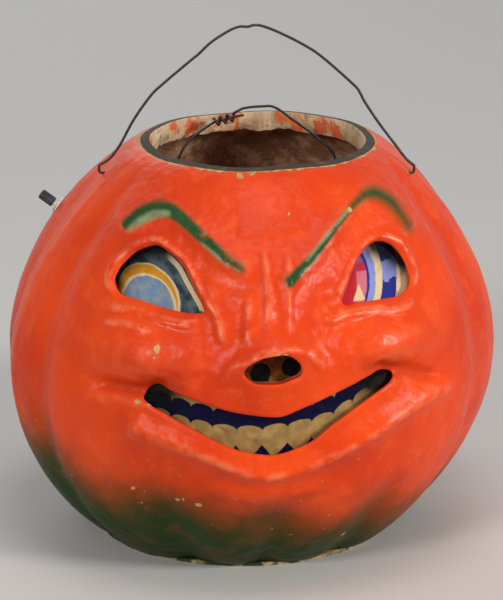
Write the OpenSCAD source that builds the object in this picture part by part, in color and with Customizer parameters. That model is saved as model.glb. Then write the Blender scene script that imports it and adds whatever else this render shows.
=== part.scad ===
// Pumpkin lantern pail: a moulded paper-pulp shell with a smiling face in relief,
// printed paper behind the eyes, nose and mouth, a wire bail, a push-button switch
// in the shoulder and a lift-out lamp unit with its own wire loop.
// Millimetres, +Z up, face towards -Y, origin under the base disc on the body's axis.

/* [Body] */
// Widest diameter of the shell
body_d = 217; // [205:1:230]
// Height of the rim above the table
body_h = 176; // [168:1:186]
// Height of the widest level, in shares of the rim's height like the other levels below
widest_share = 0.4716; // [0.45:0.0001:0.49]
// Diameter of the shell where it stands on the base disc
base_d = 130; // [120:1:140]
// Outside diameter of the open rim
rim_d = 104; // [102:1:112]
// Thickness of the pulp wall
wall = 5; // [4.5:0.1:6]
// Width of the flat cut edge around the rim
rim_w = 5; // [4:0.1:5.5]
// Depth of the knife cut inside the rim
neck_h = 9; // [4:0.5:10]
// How far the rim sits to the right of the base
lean = 7; // [0:0.5:9]
// Squareness of the shoulder, 2 is an ellipse
shoulder_power = 1.8; // [1.7:0.05:2.2]
// Squareness of the belly, 2 is an ellipse
belly_power = 2; // [1.8:0.05:2.2]
// Depth of the grooves between the ribs
groove_depth = 3; // [1:0.1:4]
// Half width of a groove, in degrees
groove_w = 7; // [5:0.5:10]

/* [Base disc] */
// How far the card disc shows around the shell's foot
disc_proud = 0.5; // [0.2:0.1:1.5]
// Thickness of the card disc
disc_t = 1.6; // [1:0.1:2.5]

/* [Face] */
// Turn of the face from square with the bail, in degrees
face_turn = 4.8; // [0:0.1:8]
// Level of the middle of the eyes
eye_share = 0.7756; // [0.755:0.0001:0.79]
// Height of each eye opening
eye_h_share = 0.125; // [0.105:0.0005:0.135]
// Distance of the left eye's middle from the face's middle
left_eye_x = 47; // [44:0.5:49]
// Width of the left eye opening
left_eye_w = 36; // [30:0.5:38]
// Distance of the right eye's middle from the face's middle
right_eye_x = 44; // [42:0.5:47]
// Width of the right eye opening
right_eye_w = 30; // [26:0.5:34]
// Level of the middle of the nose opening
nose_share = 0.6003; // [0.585:0.0001:0.615]
// Width of the nose opening
nose_w = 23.5; // [18:0.5:26]
// Height of the nose opening
nose_h_share = 0.0682; // [0.052:0.0001:0.078]
// Level of the lower edge of the smile
mouth_share = 0.3807; // [0.365:0.0001:0.39]
// Width of the smile from corner to corner
mouth_w = 105; // [95:1:110]
// Rise of the smile from its lower edge to its highest corner
rise_share = 0.1761; // [0.16:0.0001:0.185]
// Height of the nose above the round body
nose_relief = 7; // [3:0.5:9]
// Height of the cheeks above the round body
cheek_relief = 5; // [2:0.5:7]
// Depth of the eye sockets
socket_relief = 4; // [1:0.5:5]
// Height of the brow ridges
brow_relief = 3; // [1:0.5:4]
// Height of the lips
lip_relief = 3; // [1:0.5:4]

/* [Paper inserts] */
// Thickness of the printed paper
paper_t = 0.6; // [0.4:0.1:1]
// Overlap of the paper around each opening
paste_w = 5; // [4:0.5:6]

/* [Bail] */
// Diameter of the wire of both handles
wire_d = 1.2; // [1:0.1:1.6]
// Level of the bail's holes
hinge_share = 0.929; // [0.91:0.001:0.935]
// Distance of the bail's holes in front of the middle
bail_fwd = 12; // [0:0.5:16]
// Rise of the bail above its holes
bail_rise = 66; // [62:1:76]
// Distance of the bail's bends from the shell
bail_stand = 1.6; // [1.2:0.1:3]
// Length of the hook on each end of the bail
hook_l = 7; // [5:0.5:9]
// Distance of the hooks from the inside of the wall
hook_room = 5; // [4:0.5:8]

/* [Push-button switch] */
// Level of the switch on the shoulder
switch_share = 0.7784; // [0.757:0.0001:0.8]
// Turn of the switch from the front, to the left, in degrees
switch_turn = 106; // [100:1:110]
// Depth of the flat seat cut into the inside
inner_seat = 0.4; // [0.3:0.1:0.8]
// Depth of the flat seat cut into the outside
seat_depth = 0.8; // [0.6:0.1:1.2]
// Diameter of the threaded bushing
bushing_d = 6; // [5:0.1:7]
// Height of the bushing above the nut
bushing_proud = 0.5; // [0.3:0.1:1]
// Distance across the flats of the nut
nut_flats = 9; // [8.5:0.1:10]
// Thickness of the nut
nut_t = 1.9; // [1.5:0.1:2.5]
// Diameter of the washer
washer_d = 11; // [10.5:0.1:12]
// Thickness of the washer
washer_t = 0.8; // [0.5:0.1:1]
// Width of the square switch body
switch_w = 8; // [7.5:0.1:9]
// Length of the switch body
switch_l = 9; // [9:0.1:11]
// Diameter of the push-button cap
cap_d = 4.6; // [4:0.1:5.5]
// Length of the push-button cap
cap_l = 7.1; // [5:0.1:8]
// Travel of the push button
button_travel = 1.5; // [1:0.1:2]
// Diameter of the plunger
plunger_d = 2.6; // [2.2:0.1:3]
// Turns of the return spring
spring_turns = 5; // [4:1:6]
// Wire of the return spring
spring_wire = 0.4; // [0.3:0.05:0.45]

/* [Lamp unit] */
// Diameter of the tin tray
tray_d = 84; // [80:1:88]
// Thickness of the tin
tin_t = 0.8; // [0.6:0.1:1]
// Height of the tray's lip
tray_lip = 4; // [3:0.5:5]
// Width of the tray's ears
ear_w = 9; // [8:0.5:12]
// Height of the loop's pivot above the tray's floor
pivot_rise = 6.4; // [6:0.2:8]
// Diameter of the lamp socket's base
socket_d = 20; // [19:0.5:22]
// Height of the lamp socket's base
socket_h = 5; // [4:0.5:6]
// Diameter of the bulb's screw cap
bulb_cap_d = 9.6; // [9:0.1:10]
// Height of the bulb's screw cap
bulb_cap_h = 9.5; // [8:0.5:11]
// Diameter of the bulb's globe
globe_d = 15; // [12:0.5:16]
// Diameter of a dry cell
cell_d = 10.5; // [10:0.1:11]
// Length of a dry cell without its nub
cell_l = 43.7; // [42:0.1:45]
// Wall of the battery holder
holder_wall = 1.2; // [1:0.1:1.6]
// Diameter of the rivets
rivet_d = 2.2; // [1.8:0.1:2.4]

/* [Lift loop] */
// Half the width of the loop at its legs
loop_half = 38.5; // [37.5:0.5:39]
// Height of the loop above its pivot, in shares of the rim's height
loop_share = 1; // [0.98:0.01:1.02]
// Room between the leaning loop and the neck when the unit is lifted out
lift_play = 1.3; // [1:0.1:3]
// Turns of the twist
twist_turns = 3; // [2:1:3]

/* [Clearances] */
// Glue line between the paper and the wall
glue_gap = 0.3; // [0.2:0.05:0.4]
// Play of the bail in its holes
hole_play = 0.3; // [0.1:0.05:0.4]
// Running clearance of pins, rods and threads
run_play = 0.1; // [0.05:0.01:0.1]
// Lift between pieces that only rest on each other
rest_gap = 0.2; // [0.1:0.05:0.3]

/* [Hidden] */

// Facets of round pieces
round_fn = 48;
// Angle step of the shell's columns across the face and around the back
face_step = 3;
back_step = 5;
// Half of the angle that the fine columns cover
face_half = 75;
// Rows of the shell's outside and inside
outer_rows = 34;
inner_rows = 15;
// Directions of the grooves between the ribs, from the middle of the face
grooves = [-62, -24, 4, 33, 65, 94, 123, 152, 181, 210, 240, 269];
// Share of a groove's depth that shows on the inside
inside_share = 0.5;
// Height over which the grooves fade out below the rim
groove_fade = 30;
// Half angle and levels of the face, where the grooves stay faint
face_angle = 50;
low_share = 0.2386;
high_share = 0.9375;
// Widths over which the grooves come back beside, below and above the face
side_blend = 15;
low_blend = 15;
high_blend = 8;
// Share of a groove's depth that is left across the face
face_share = 0.1;
// Step used to measure a slope
slope_step = 0.5;
// Sides of a wire and steps along each of its bends
wire_sides = 8;
bend_steps = 3;
// Steps along each turn of a winding
coil_steps = 12;
// Steps along each stretch of an opening's outline
outline_steps = 2;
// Columns and rows of a paper insert
paper_cols = 14;
paper_rows = 8;
// How far a cut runs on past what it cuts
cut = 1;

// Heights of the levels above the table
widest_z = widest_share * body_h;
eye_z = eye_share * body_h;
nose_z = nose_share * body_h;
mouth_z = mouth_share * body_h;
hinge_z = hinge_share * body_h;
switch_z = switch_share * body_h;
face_low = low_share * body_h;
face_high = high_share * body_h;
loop_rise = loop_share * body_h;
// Heights of the openings
eye_h = eye_h_share * body_h;
nose_h = nose_h_share * body_h;
mouth_rise = rise_share * body_h;

body_r = body_d / 2;
base_r = base_d / 2;
rim_r = rim_d / 2;
wire_r = wire_d / 2;
neck_r = rim_r - rim_w;
disc_d = base_d + 2 * disc_proud;
shoulder_b = (body_h - widest_z) / pow(1 - pow(rim_r / body_r, shoulder_power), 1 / shoulder_power);
belly_b = widest_z / pow(1 - pow(base_r / body_r, belly_power), 1 / belly_power);

// Shape of the body

function lean_at(z) = lean * (z - widest_z) / body_h;

function round_r(z) = z > widest_z
    ? body_r * pow(1 - pow(min((z - widest_z) / shoulder_b, 1), shoulder_power), 1 / shoulder_power)
    : body_r * pow(1 - pow(min((widest_z - z) / belly_b, 1), belly_power), 1 / belly_power);

// Outward normal of the round body in its own section, as [outward, up]
function normal_at(z) =
    let (slope = (round_r(z + slope_step) - round_r(z - slope_step)) / (2 * slope_step))
    [1, -slope] / norm([1, slope]);

function ease(t) = let (c = min(max(t, 0), 1)) c * c * (3 - 2 * c);
function wrapped(a) = a - 360 * floor((a + 180) / 360);
function groove_dist(a) = min([for (g = grooves) abs(wrapped(a - g))]);

// Ribs fade at the rim and stay faint across the face
function rib(a, z) =
    let (side = ease((abs(wrapped(a)) - face_angle) / side_blend),
        below = ease((face_low - z) / low_blend),
        above = ease((z - face_high) / high_blend),
        share = max(side, below, above, face_share),
        fade = ease((body_h - z) / groove_fade))
    -groove_depth * share * fade * exp(-pow(groove_dist(a) / groove_w, 2));

// Raised and sunken forms of the face, placed as seen from the front
function blob(p, c, w, h) = h * exp(-pow((p[0] - c[0]) / w[0], 2) - pow((p[1] - c[1]) / w[1], 2));
function seg_dist(p, a, b) =
    let (ab = b - a, t = min(max((p - a) * ab / (ab * ab), 0), 1)) norm(p - a - t * ab);
function stroke(p, pts, w, h) =
    let (d = min([for (i = [0:len(pts) - 2]) seg_dist(p, pts[i], pts[i + 1])]))
    h * exp(-pow(d / w, 2));

// Lines of the brows from the eyes' middles, and of the lip from the smile's lower edge
left_brow = [[-15, 15.5], [-7, 22.5], [0, 26.5], [7, 26.5], [19, 18], [29, 10], [37, 3.5]];
right_brow = [[-38, 1], [-28, 9], [-17, 19.5], [-9, 26], [-1, 28.5], [8, 23.5], [16, 13.5]];
lower_lip = [[-54, 8], [-29, 0.5], [0, -9.5], [30, -0.5], [56, 12], [75, 19]];

// Half widths and half heights of the rounded forms, and half widths of the ridges
nose_form = [17, 14];
cheek_form = [20, 13];
left_socket_form = [20, 13];
right_socket_form = [18, 13];
chin_form = [24, 9];
bridge_ridge = 10;
brow_ridge = 5;
lip_ridge = 6;
// Places of the cheeks from the eyes' middles, of the bridge's foot from the nose's middle
// and of the chin from the smile's lower edge
left_cheek = [-5, -28];
right_cheek = [8, -25];
bridge_foot = [0, 8];
chin = [0, -21];
// Share of the nose's height that the bridge has
bridge_share = 1 / 3;

function moved(pts, by) = [for (p = pts) p + by];

function relief(a, z) = cos(a) < 0 ? 0 :
    let (p = [round_r(z) * sin(a), z],
        left_eye = [-left_eye_x, eye_z],
        right_eye = [right_eye_x, eye_z],
        nose = [0, nose_z],
        smile = [0, mouth_z])
    blob(p, nose, nose_form, nose_relief)
    + stroke(p, [nose + bridge_foot, [0, eye_z]], bridge_ridge, nose_relief * bridge_share)
    + blob(p, left_eye + left_cheek, cheek_form, cheek_relief)
    + blob(p, right_eye + right_cheek, cheek_form, cheek_relief)
    + blob(p, left_eye, left_socket_form, -socket_relief)
    + blob(p, right_eye, right_socket_form, -socket_relief)
    + stroke(p, moved(left_brow, left_eye), brow_ridge, brow_relief)
    + stroke(p, moved(right_brow, right_eye), brow_ridge, brow_relief)
    + stroke(p, moved(lower_lip, smile), lip_ridge, lip_relief)
    + blob(p, smile + chin, chin_form, lip_relief);

function outer_at(turn, z) = round_r(z) + rib(turn - face_turn, z) + relief(turn - face_turn, z);
function spot(turn, z, r) = [lean_at(z) + r * sin(turn), -r * cos(turn), z];

// Point of the inside wall at the level of an outside height, set deeper by an offset
function inner_spot(turn, z, deeper) =
    let (n = normal_at(z), zi = z - (wall + deeper) * n[1])
    spot(turn, zi, round_r(z) - (wall + deeper) * n[0] + inside_share * rib(turn - face_turn, z));

// Outlines of the openings, in half widths and half heights from their middles

left_eye_shape = [[-1.02, -0.41], [-0.97, -0.11], [-0.86, 0.17], [-0.56, 0.64], [-0.22, 0.92],
    [-0.03, 0.98], [0.17, 0.84], [0.48, 0.48], [0.69, -0.05], [1.01, -0.88], [0.94, -1.05],
    [0.46, -1.07], [-0.49, -0.86], [-0.88, -0.77]];
right_eye_shape = [[-0.91, -0.84], [-0.6, -0.09], [-0.36, 0.44], [-0.14, 0.75], [0.07, 0.9],
    [0.28, 0.93], [0.5, 0.85], [0.75, 0.63], [0.99, 0.24], [1.12, -0.21], [1.11, -0.62],
    [0.92, -0.85], [0.63, -0.93], [-0.33, -0.88]];
nose_shape = [[-0.97, -0.26], [-0.82, 0.23], [-0.55, 0.63], [-0.26, 0.9], [0.27, 1], [0.62, 0.76],
    [0.9, 0.26], [0.97, -0.14], [0.94, -0.6], [0.58, -0.86], [0.27, -1.03], [-0.34, -1.03],
    [-0.6, -0.98], [-0.85, -0.7]];
// The smile in half widths, and in shares of its rise above its lower edge
mouth_shape = [[-1.01, 0.74], [-0.95, 0.87], [-0.84, 0.87], [-0.52, 0.71], [-0.32, 0.62],
    [-0.13, 0.57], [0.01, 0.54], [0.11, 0.55], [0.25, 0.64], [0.64, 0.89], [0.82, 1], [0.95, 1],
    [1.02, 0.9], [0.8, 0.68], [0.52, 0.39], [0.35, 0.16], [0.22, 0.06], [0.09, -0.01],
    [-0.05, -0.01], [-0.3, 0.1], [-0.63, 0.36], [-0.97, 0.64]];

function spline(a, b, c, d, t) =
    b + 0.5 * t * (c - a + t * (2 * a - 5 * b + 4 * c - d + t * (3 * (b - c) + d - a)));
function closed_curve(pts, steps) =
    let (n = len(pts))
    [for (i = [0:n - 1], k = [0:steps - 1])
        spline(pts[(i + n - 1) % n], pts[i], pts[(i + 1) % n], pts[(i + 2) % n], k / steps)];
function open_curve(pts, steps) =
    let (n = len(pts), first = 2 * pts[0] - pts[1], last = 2 * pts[n - 1] - pts[n - 2],
        full = concat([first], pts, [last]))
    concat([for (i = [1:n - 1], k = [0:steps - 1])
        spline(full[i - 1], full[i], full[i + 1], full[i + 2], k / steps)], [pts[n - 1]]);
function placed(shape, c, half) = [for (p = shape) [c[0] + p[0] * half[0], c[1] + p[1] * half[1]]];
function leaning(pts) = [for (p = pts) [p[0] + lean_at(p[1]), p[1]]];

left_eye_outline = placed(left_eye_shape, [-left_eye_x, eye_z], [left_eye_w, eye_h] / 2);
right_eye_outline = placed(right_eye_shape, [right_eye_x, eye_z], [right_eye_w, eye_h] / 2);
nose_outline = placed(nose_shape, [0, nose_z], [nose_w, nose_h] / 2);
mouth_outline = placed(mouth_shape, [0, mouth_z], [mouth_w / 2, mouth_rise]);

module opening(outline) {
    rotate([0, 0, face_turn]) rotate([90, 0, 0]) linear_extrude(height = body_d)
        polygon(closed_curve(leaning(outline), outline_steps));
}

// Grid of points closed into one skin, each row a closed ring

function ring_faces(rows, cols) = [for (j = [0:rows - 2], i = [0:cols - 1])
    let (a = j * cols + i, b = j * cols + (i + 1) % cols, c = b + cols, d = a + cols)
    each [[a, d, c], [a, c, b]]];

turns = concat([for (a = [-face_half:face_step:face_half - face_step]) a],
    [for (a = [face_half:back_step:360 - face_half - back_step]) a]);
// Width of the flat foot that the shell stands on, in walls
foot_share = 1.4;
// Room for the switch body in its pocket
pocket_room = 1;

module pumpkin_shell() {
    outside = [for (j = [0:outer_rows])
        let (z = disc_t + (body_h - disc_t) * j / outer_rows)
        [for (t = turns) spot(t, z, outer_at(t, z))]];
    lip_in = [[for (t = turns) spot(t, body_h, neck_r)],
        [for (t = turns) spot(t, body_h - neck_h, neck_r)]];
    inside_top = body_h - neck_h + wall * normal_at(body_h - neck_h)[1];
    inside_low = disc_t + wall;
    inside = [for (j = [0:inner_rows])
        let (z = inside_top + (inside_low - inside_top) * j / inner_rows)
        [for (t = turns) inner_spot(t, z, 0)]];
    foot = [[for (t = turns) spot(t, disc_t, base_r - foot_share * wall)]];
    rings = concat(outside, lip_in, inside, foot);
    cols = len(turns);
    points = [for (ring = rings) each ring];
    rows = len(rings);
    close = [for (i = [0:cols - 1])
        let (last = (rows - 1) * cols, a = last + i, b = last + (i + 1) % cols, c = (i + 1) % cols,
            d = i)
        each [[a, d, c], [a, c, b]]];
    color("orangered") difference() {
        polyhedron(points, concat(ring_faces(rows, cols), close));
        opening(left_eye_outline);
        opening(right_eye_outline);
        opening(nose_outline);
        opening(mouth_outline);
        for (side = [-1, 1])
            translate([bail_x, -bail_fwd, hinge_z]) rotate([0, 90 * side, 0])
                cylinder(h = bail_half + wall, r = pivot_r + hole_play, $fn = round_fn);
        switch_frame() {
            translate([0, 0, -seat_depth]) cylinder(h = 4 * seat_depth, d = seat_d, $fn = round_fn);
            translate([0, 0, switch_in - cut])
                cylinder(h = switch_web + 2 * cut, d = bushing_d + 2 * rest_gap, $fn = round_fn);
            translate([0, 0, switch_in - switch_l])
                cylinder(h = switch_l, d = switch_w * sqrt(2) + 2 * pocket_room, $fn = round_fn);
        }
    }
}

module base_disc() {
    color("tan") translate([lean_at(0), 0, 0]) cylinder(h = disc_t, d = disc_d, $fn = 2 * round_fn);
}

// Printed paper pasted behind an opening: a curved sheet between two angles, whose lower
// and upper edges are given at each of its columns
module paper(from, to, low, high) {
    n = paper_cols;
    m = paper_rows;
    sheet = [for (deep = [glue_gap, glue_gap + paper_t], j = [0:m], i = [0:n])
        let (a = from + (to - from) * i / n, s = 2 * i / n - 1,
            foot = low[0] + low[1] * s * s,
            top = high[0] + high[1] * s * s)
        inner_spot(a + face_turn, foot + (top - foot) * j / m, deep)];
    half = (n + 1) * (m + 1);
    face = function (i, j) j * (n + 1) + i;
    front = [for (j = [0:m - 1], i = [0:n - 1])
        each [[face(i, j), face(i, j + 1), face(i + 1, j + 1)],
            [face(i, j), face(i + 1, j + 1), face(i + 1, j)]]];
    back = [for (f = front) [f[2] + half, f[1] + half, f[0] + half]];
    edge = concat([for (i = [0:n]) face(i, 0)], [for (j = [1:m]) face(n, j)],
        [for (i = [n - 1:-1:0]) face(i, m)], [for (j = [m - 1:-1:1]) face(0, j)]);
    k = len(edge);
    rim = [for (i = [0:k - 1]) let (a = edge[i], b = edge[(i + 1) % k])
        each [[a, b, b + half], [a, b + half, a + half]]];
    polyhedron(sheet, concat(front, back, rim));
}

// Angle at which the inside of the wall, behind a height of the face, has a place across
function angle_of(x, z) = asin(x / (round_r(z) - wall * normal_at(z)[0]));

// Paper with straight edges around an opening whose middle and sizes are given
module patch(x, z, w, h, trim) {
    paper(angle_of(x - w / 2 - paste_w, z), angle_of(x + w / 2 + paste_w, z),
        [z - h / 2 - paste_w + trim, 0], [z + h / 2 + paste_w, 0]);
}
// How much shorter the eyes' papers are at their lower edges
eye_trim = 2;

module left_eye_insert() {
    color("lightsteelblue") patch(-left_eye_x, eye_z, left_eye_w, eye_h, eye_trim);
}
module right_eye_insert() {
    color("lightsteelblue") patch(right_eye_x, eye_z, right_eye_w, eye_h, eye_trim);
}
module nose_insert() {
    color("goldenrod") patch(0, nose_z, nose_w, nose_h, 0);
}
// Heights of the smile's corners and upper edge, and bows of the paper's two edges, in rises
corner_share = 0.7;
upper_share = 0.6;
low_bow = 0.5;
high_bow = 0.4;
module mouth_insert() {
    corner = mouth_z + corner_share * mouth_rise;
    side = mouth_w / 2 + paste_w;
    color("wheat") paper(angle_of(-side, corner), angle_of(side, corner),
        [mouth_z - paste_w, low_bow * mouth_rise],
        [mouth_z + upper_share * mouth_rise + paste_w, high_bow * mouth_rise]);
}

// Wires

// Tube along points, whose rings turn with the path and never twist
function unit(v) = v / norm(v);
function path_dir(pts, i) = unit(pts[min(i + 1, len(pts) - 1)] - pts[max(i - 1, 0)]);
function squared(v, along) = unit(v - (v * along) * along);
function path_sides(pts, side) =
    [for (i = 0, u = squared(side, path_dir(pts, 0)); i < len(pts);
        i = i + 1, u = squared(u, path_dir(pts, min(i, len(pts) - 1)))) u];
module tube(pts, side, r) {
    n = len(pts);
    sides = path_sides(pts, side);
    points = [for (i = [0:n - 1], k = [0:wire_sides - 1])
        let (a = 360 * k / wire_sides, u = sides[i], v = cross(path_dir(pts, i), u))
        pts[i] + r * (cos(a) * u + sin(a) * v)];
    start = [for (k = [0:wire_sides - 1]) k];
    end = [for (k = [wire_sides - 1:-1:0]) (n - 1) * wire_sides + k];
    polyhedron(points, concat(ring_faces(n, wire_sides), [start, end]));
}
// Quarter bend from along +X at the origin to along +Z, on the given side
function elbow(side, r) = [for (i = [0:bend_steps])
    let (a = 90 * i / bend_steps) [side * r * sin(a), 0, r * (1 - cos(a))]];
function reversed(pts) = [for (i = [len(pts) - 1:-1:0]) pts[i]];
// Least gaps, measured on points, of a winding to itself and between two wires
function own_gap(pts, apart, d) =
    min([for (i = [0:len(pts) - 1 - apart], j = [i + apart:len(pts) - 1]) norm(pts[i] - pts[j])]) - d;
function least_gap(a, b, d) = min([for (p = a, q = b) norm(p - q)]) - d;

bail_x = lean_at(hinge_z);
// Half span of the bail at a radius, in front of the middle
function bail_span(r) = sqrt(r * r - bail_fwd * bail_fwd);
hole_turn = acos(bail_fwd / round_r(hinge_z));
bail_half = bail_span(max(outer_at(hole_turn, hinge_z), outer_at(-hole_turn, hinge_z))) + bail_stand;
// Inside end of the bail, clear of the wall
bail_in = bail_span(round_r(hinge_z) - wall / normal_at(hinge_z)[0]) - hook_room;
// Bend of a wire at a pivot, and the pivot's own radius, just over the wire's
bend_r = wire_d;
pivot_swell = 0.024;
pivot_r = wire_r + pivot_swell;
// Length of wire that runs on inside a pivot
pivot_grip = 1;
// Bends of the bail in shares of its half span and of its rise
bail_bends = [[-1, 0.05], [-0.93, 0.1], [-0.862, 0.196], [-0.778, 0.359], [-0.669, 0.522],
    [-0.59, 0.603], [-0.412, 0.765], [-0.365, 0.806], [-0.286, 0.886], [-0.18, 0.96],
    [-0.11, 0.99], [-0.054, 0.99], [-0.016, 1], [0.04, 0.992], [0.147, 0.946], [0.297, 0.866],
    [0.417, 0.782], [0.61, 0.603], [0.652, 0.546], [0.684, 0.482], [0.774, 0.339], [0.876, 0.196],
    [0.95, 0.095], [1, 0.05]];

// Wire that leaves a pivot at [x, 0, 0] and turns up at its far end
function pivot_end(x, side) = concat([[x - side * (bend_r + pivot_grip), 0, 0]],
    moved(elbow(side, bend_r), [x - side * bend_r, 0, 0]));

module bail_wire() {
    arch = [for (p = open_curve(bail_bends, bend_steps)) [p[0] * bail_half, 0, p[1] * bail_rise]];
    path = concat(pivot_end(-bail_half, -1), arch, reversed(pivot_end(bail_half, 1)));
    color("dimgray") translate([bail_x, -bail_fwd, hinge_z]) {
        tube(path, [0, 1, 0], wire_r);
        for (side = [-1, 1]) {
            translate([side * (bail_in + bend_r), 0, 0]) rotate([0, 90 * side, 0])
                cylinder(h = bail_half - bail_in - 2 * bend_r, r = pivot_r, $fn = round_fn);
            hook = concat(pivot_end(bail_in, -1), [[bail_in, 0, hook_l]]);
            mirror([side < 0 ? 1 : 0, 0, 0]) mirror([0, 0, 1]) tube(hook, [0, 1, 0], wire_r);
        }
    }
}

// Push-button switch, built along its own axis from the shell's outside

seat_d = washer_d + 2 * rest_gap;
switch_top = -seat_depth + washer_t + nut_t + bushing_proud;
switch_web = wall - seat_depth - inner_seat;
switch_in = -seat_depth - switch_web;
cap_from = switch_top + button_travel + rest_gap;
spring_room = plunger_d + 4 * spring_wire + 4 * run_play;
// Flange of the plunger, floor of the switch body and room of the spring around the plunger
flange_t = 0.8;
switch_floor = 1.3;
spring_play = 2 * run_play;
spring_low = switch_in - switch_l + switch_floor + rest_gap;
spring_high = switch_in - rest_gap - flange_t;

module switch_frame() {
    n = normal_at(switch_z);
    translate(spot(-switch_turn, switch_z, outer_at(-switch_turn, switch_z)))
        rotate([0, 0, -90 - switch_turn]) rotate([0, atan2(n[0], n[1]), 0]) children();
}

module switch_body() {
    color("saddlebrown") switch_frame() difference() {
        translate([-switch_w / 2, -switch_w / 2, switch_in - switch_l])
            cube([switch_w, switch_w, switch_l]);
        translate([0, 0, spring_low - rest_gap])
            cylinder(h = switch_l, d = spring_room, $fn = round_fn);
    }
}
module switch_bushing() {
    color("silver") switch_frame() translate([0, 0, switch_in]) difference() {
        cylinder(h = switch_top - switch_in, d = bushing_d, $fn = round_fn);
        translate([0, 0, -cut]) cylinder(h = switch_top - switch_in + 2 * cut,
            d = plunger_d + 2 * run_play, $fn = round_fn);
    }
}
module switch_washer() {
    color("silver") switch_frame() translate([0, 0, -seat_depth]) difference() {
        cylinder(h = washer_t, d = washer_d, $fn = round_fn);
        translate([0, 0, -cut])
            cylinder(h = washer_t + 2 * cut, d = bushing_d + 2 * run_play, $fn = round_fn);
    }
}
module switch_nut() {
    color("gainsboro") switch_frame() translate([0, 0, washer_t - seat_depth]) difference() {
        cylinder(h = nut_t, d = nut_flats / cos(30), $fn = 6);
        translate([0, 0, -cut])
            cylinder(h = nut_t + 2 * cut, d = bushing_d + 2 * run_play, $fn = round_fn);
    }
}
module switch_terminals() {
    lug = [0.5, 2, 4];
    low = switch_in - switch_l - lug[2];
    color("gold") switch_frame() for (side = [-1, 1])
        translate([side * switch_w / 4 - lug[0] / 2, -lug[1] / 2, low]) cube(lug);
}
spring_path =
    let (r = (plunger_d + spring_wire) / 2 + spring_play,
        h = spring_high - spring_low - spring_wire - 2 * run_play,
        steps = coil_steps * spring_turns)
    [for (i = [0:steps]) let (w = 360 * i / coil_steps)
        [r * cos(w), r * sin(w), spring_low + run_play + spring_wire / 2 + h * i / steps]];
echo("Least gap between the spring's turns, mm:", own_gap(spring_path, coil_steps / 2, spring_wire));
module button_spring() {
    color("silver") switch_frame() tube(spring_path, [0, 0, 1], spring_wire / 2);
}
module button_plunger() {
    low = spring_low + button_travel + rest_gap;
    color("white") switch_frame() {
        translate([0, 0, low]) cylinder(h = cap_from - low, d = plunger_d, $fn = round_fn);
        translate([0, 0, spring_high])
            cylinder(h = flange_t, d = spring_room - 2 * run_play, $fn = round_fn);
    }
}
module push_button() {
    flutes = 12;
    flute_d = cap_d / 10;
    plain_end = 1;
    color("black") switch_frame() translate([0, 0, cap_from]) difference() {
        cylinder(h = cap_l, d = cap_d, $fn = round_fn);
        for (i = [0:flutes - 1])
            rotate([0, 0, 360 * i / flutes]) translate([cap_d / 2, 0, plain_end])
                cylinder(h = cap_l - 2 * plain_end, d = flute_d, $fn = round_fn / 2);
    }
}

// Lamp unit, standing on the base disc under the rim

unit_x = lean_at(body_h);
// Distance of the battery holder from the loop's pivot, and rise of its walls above the cells
holder_off = 2;
holder_rise = 1;
tray_z = disc_t + rest_gap;
floor_z = tray_z + tin_t;
pivot_z = floor_z + pivot_rise;
ear_x = loop_half - wire_r - rest_gap - tin_t;
ear_h = pivot_rise + ear_w / 2;
lamp_y = -tray_d / 4;
shell_d = bulb_cap_d + 4 * run_play;
shell_t = 0.5;
shell_low = floor_z + socket_h / 2;
bulb_z = shell_low + shell_t + run_play;
globe_wall = 0.6;
globe_neck_d = bulb_cap_d - 1;
globe_neck_h = 4;
nub_d = 3.8;
nub_l = 0.8;
contact_t = 0.7;
cell_gap = 1.2;
holder_l = cell_l + nub_l + 2 * (contact_t + holder_wall + run_play);
holder_w = 2 * cell_d + cell_gap + 2 * holder_wall + 4 * run_play;
holder_h = cell_d + holder_rise;
holder_y = wire_r + holder_off;
cell_z = floor_z + holder_wall + run_play + cell_d / 2;
cell_y = [for (i = [0, 1])
    holder_y + holder_wall + 2 * run_play + cell_d / 2 + i * (cell_d + cell_gap)];
rivet_head_rim = 0.6;
rivet_head_d = rivet_d + 2 * rivet_head_rim;
rivet_head_h = 0.8;
socket_rivet_x = (shell_d / 2 + shell_t + socket_d / 2) / 2;
holder_rivet_x = holder_l / 4;
holder_rivet_y = holder_y + holder_w / 2;

module at_unit() {
    translate([unit_x, 0, 0]) children();
}
// Places of the rivets: two in the socket's base and two in the battery holder's floor
rivet_spots = [[-socket_rivet_x, lamp_y, socket_h], [socket_rivet_x, lamp_y, socket_h],
    [-holder_rivet_x, holder_rivet_y, holder_wall], [holder_rivet_x, holder_rivet_y, holder_wall]];
module rivet_holes() {
    for (p = rivet_spots) translate([p[0], p[1], 0])
        cylinder(h = pivot_z + holder_h, d = rivet_d + 2 * run_play, $fn = round_fn);
}

module lamp_tray() {
    color("silver") at_unit() difference() {
        union() {
            translate([0, 0, tray_z]) cylinder(h = tin_t, d = tray_d, $fn = 2 * round_fn);
            translate([0, 0, tray_z]) difference() {
                cylinder(h = tray_lip, d = tray_d, $fn = 2 * round_fn);
                translate([0, 0, -cut])
                    cylinder(h = tray_lip + 2 * cut, d = tray_d - 2 * tin_t, $fn = 2 * round_fn);
            }
            for (side = [-1, 1])
                translate([side * (ear_x + tin_t / 2) - tin_t / 2, -ear_w / 2, tray_z])
                    cube([tin_t, ear_w, tin_t + ear_h]);
        }
        translate([-tray_d, 0, pivot_z]) rotate([0, 90, 0])
            cylinder(h = 2 * tray_d, r = pivot_r + run_play, $fn = round_fn);
        rivet_holes();
    }
}
module lamp_socket() {
    color("sienna") at_unit() difference() {
        translate([0, lamp_y, floor_z]) cylinder(h = socket_h, d = socket_d, $fn = round_fn);
        translate([0, lamp_y, shell_low])
            cylinder(h = socket_h, d = shell_d + 2 * shell_t + 2 * run_play, $fn = round_fn);
        rivet_holes();
    }
}
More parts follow.
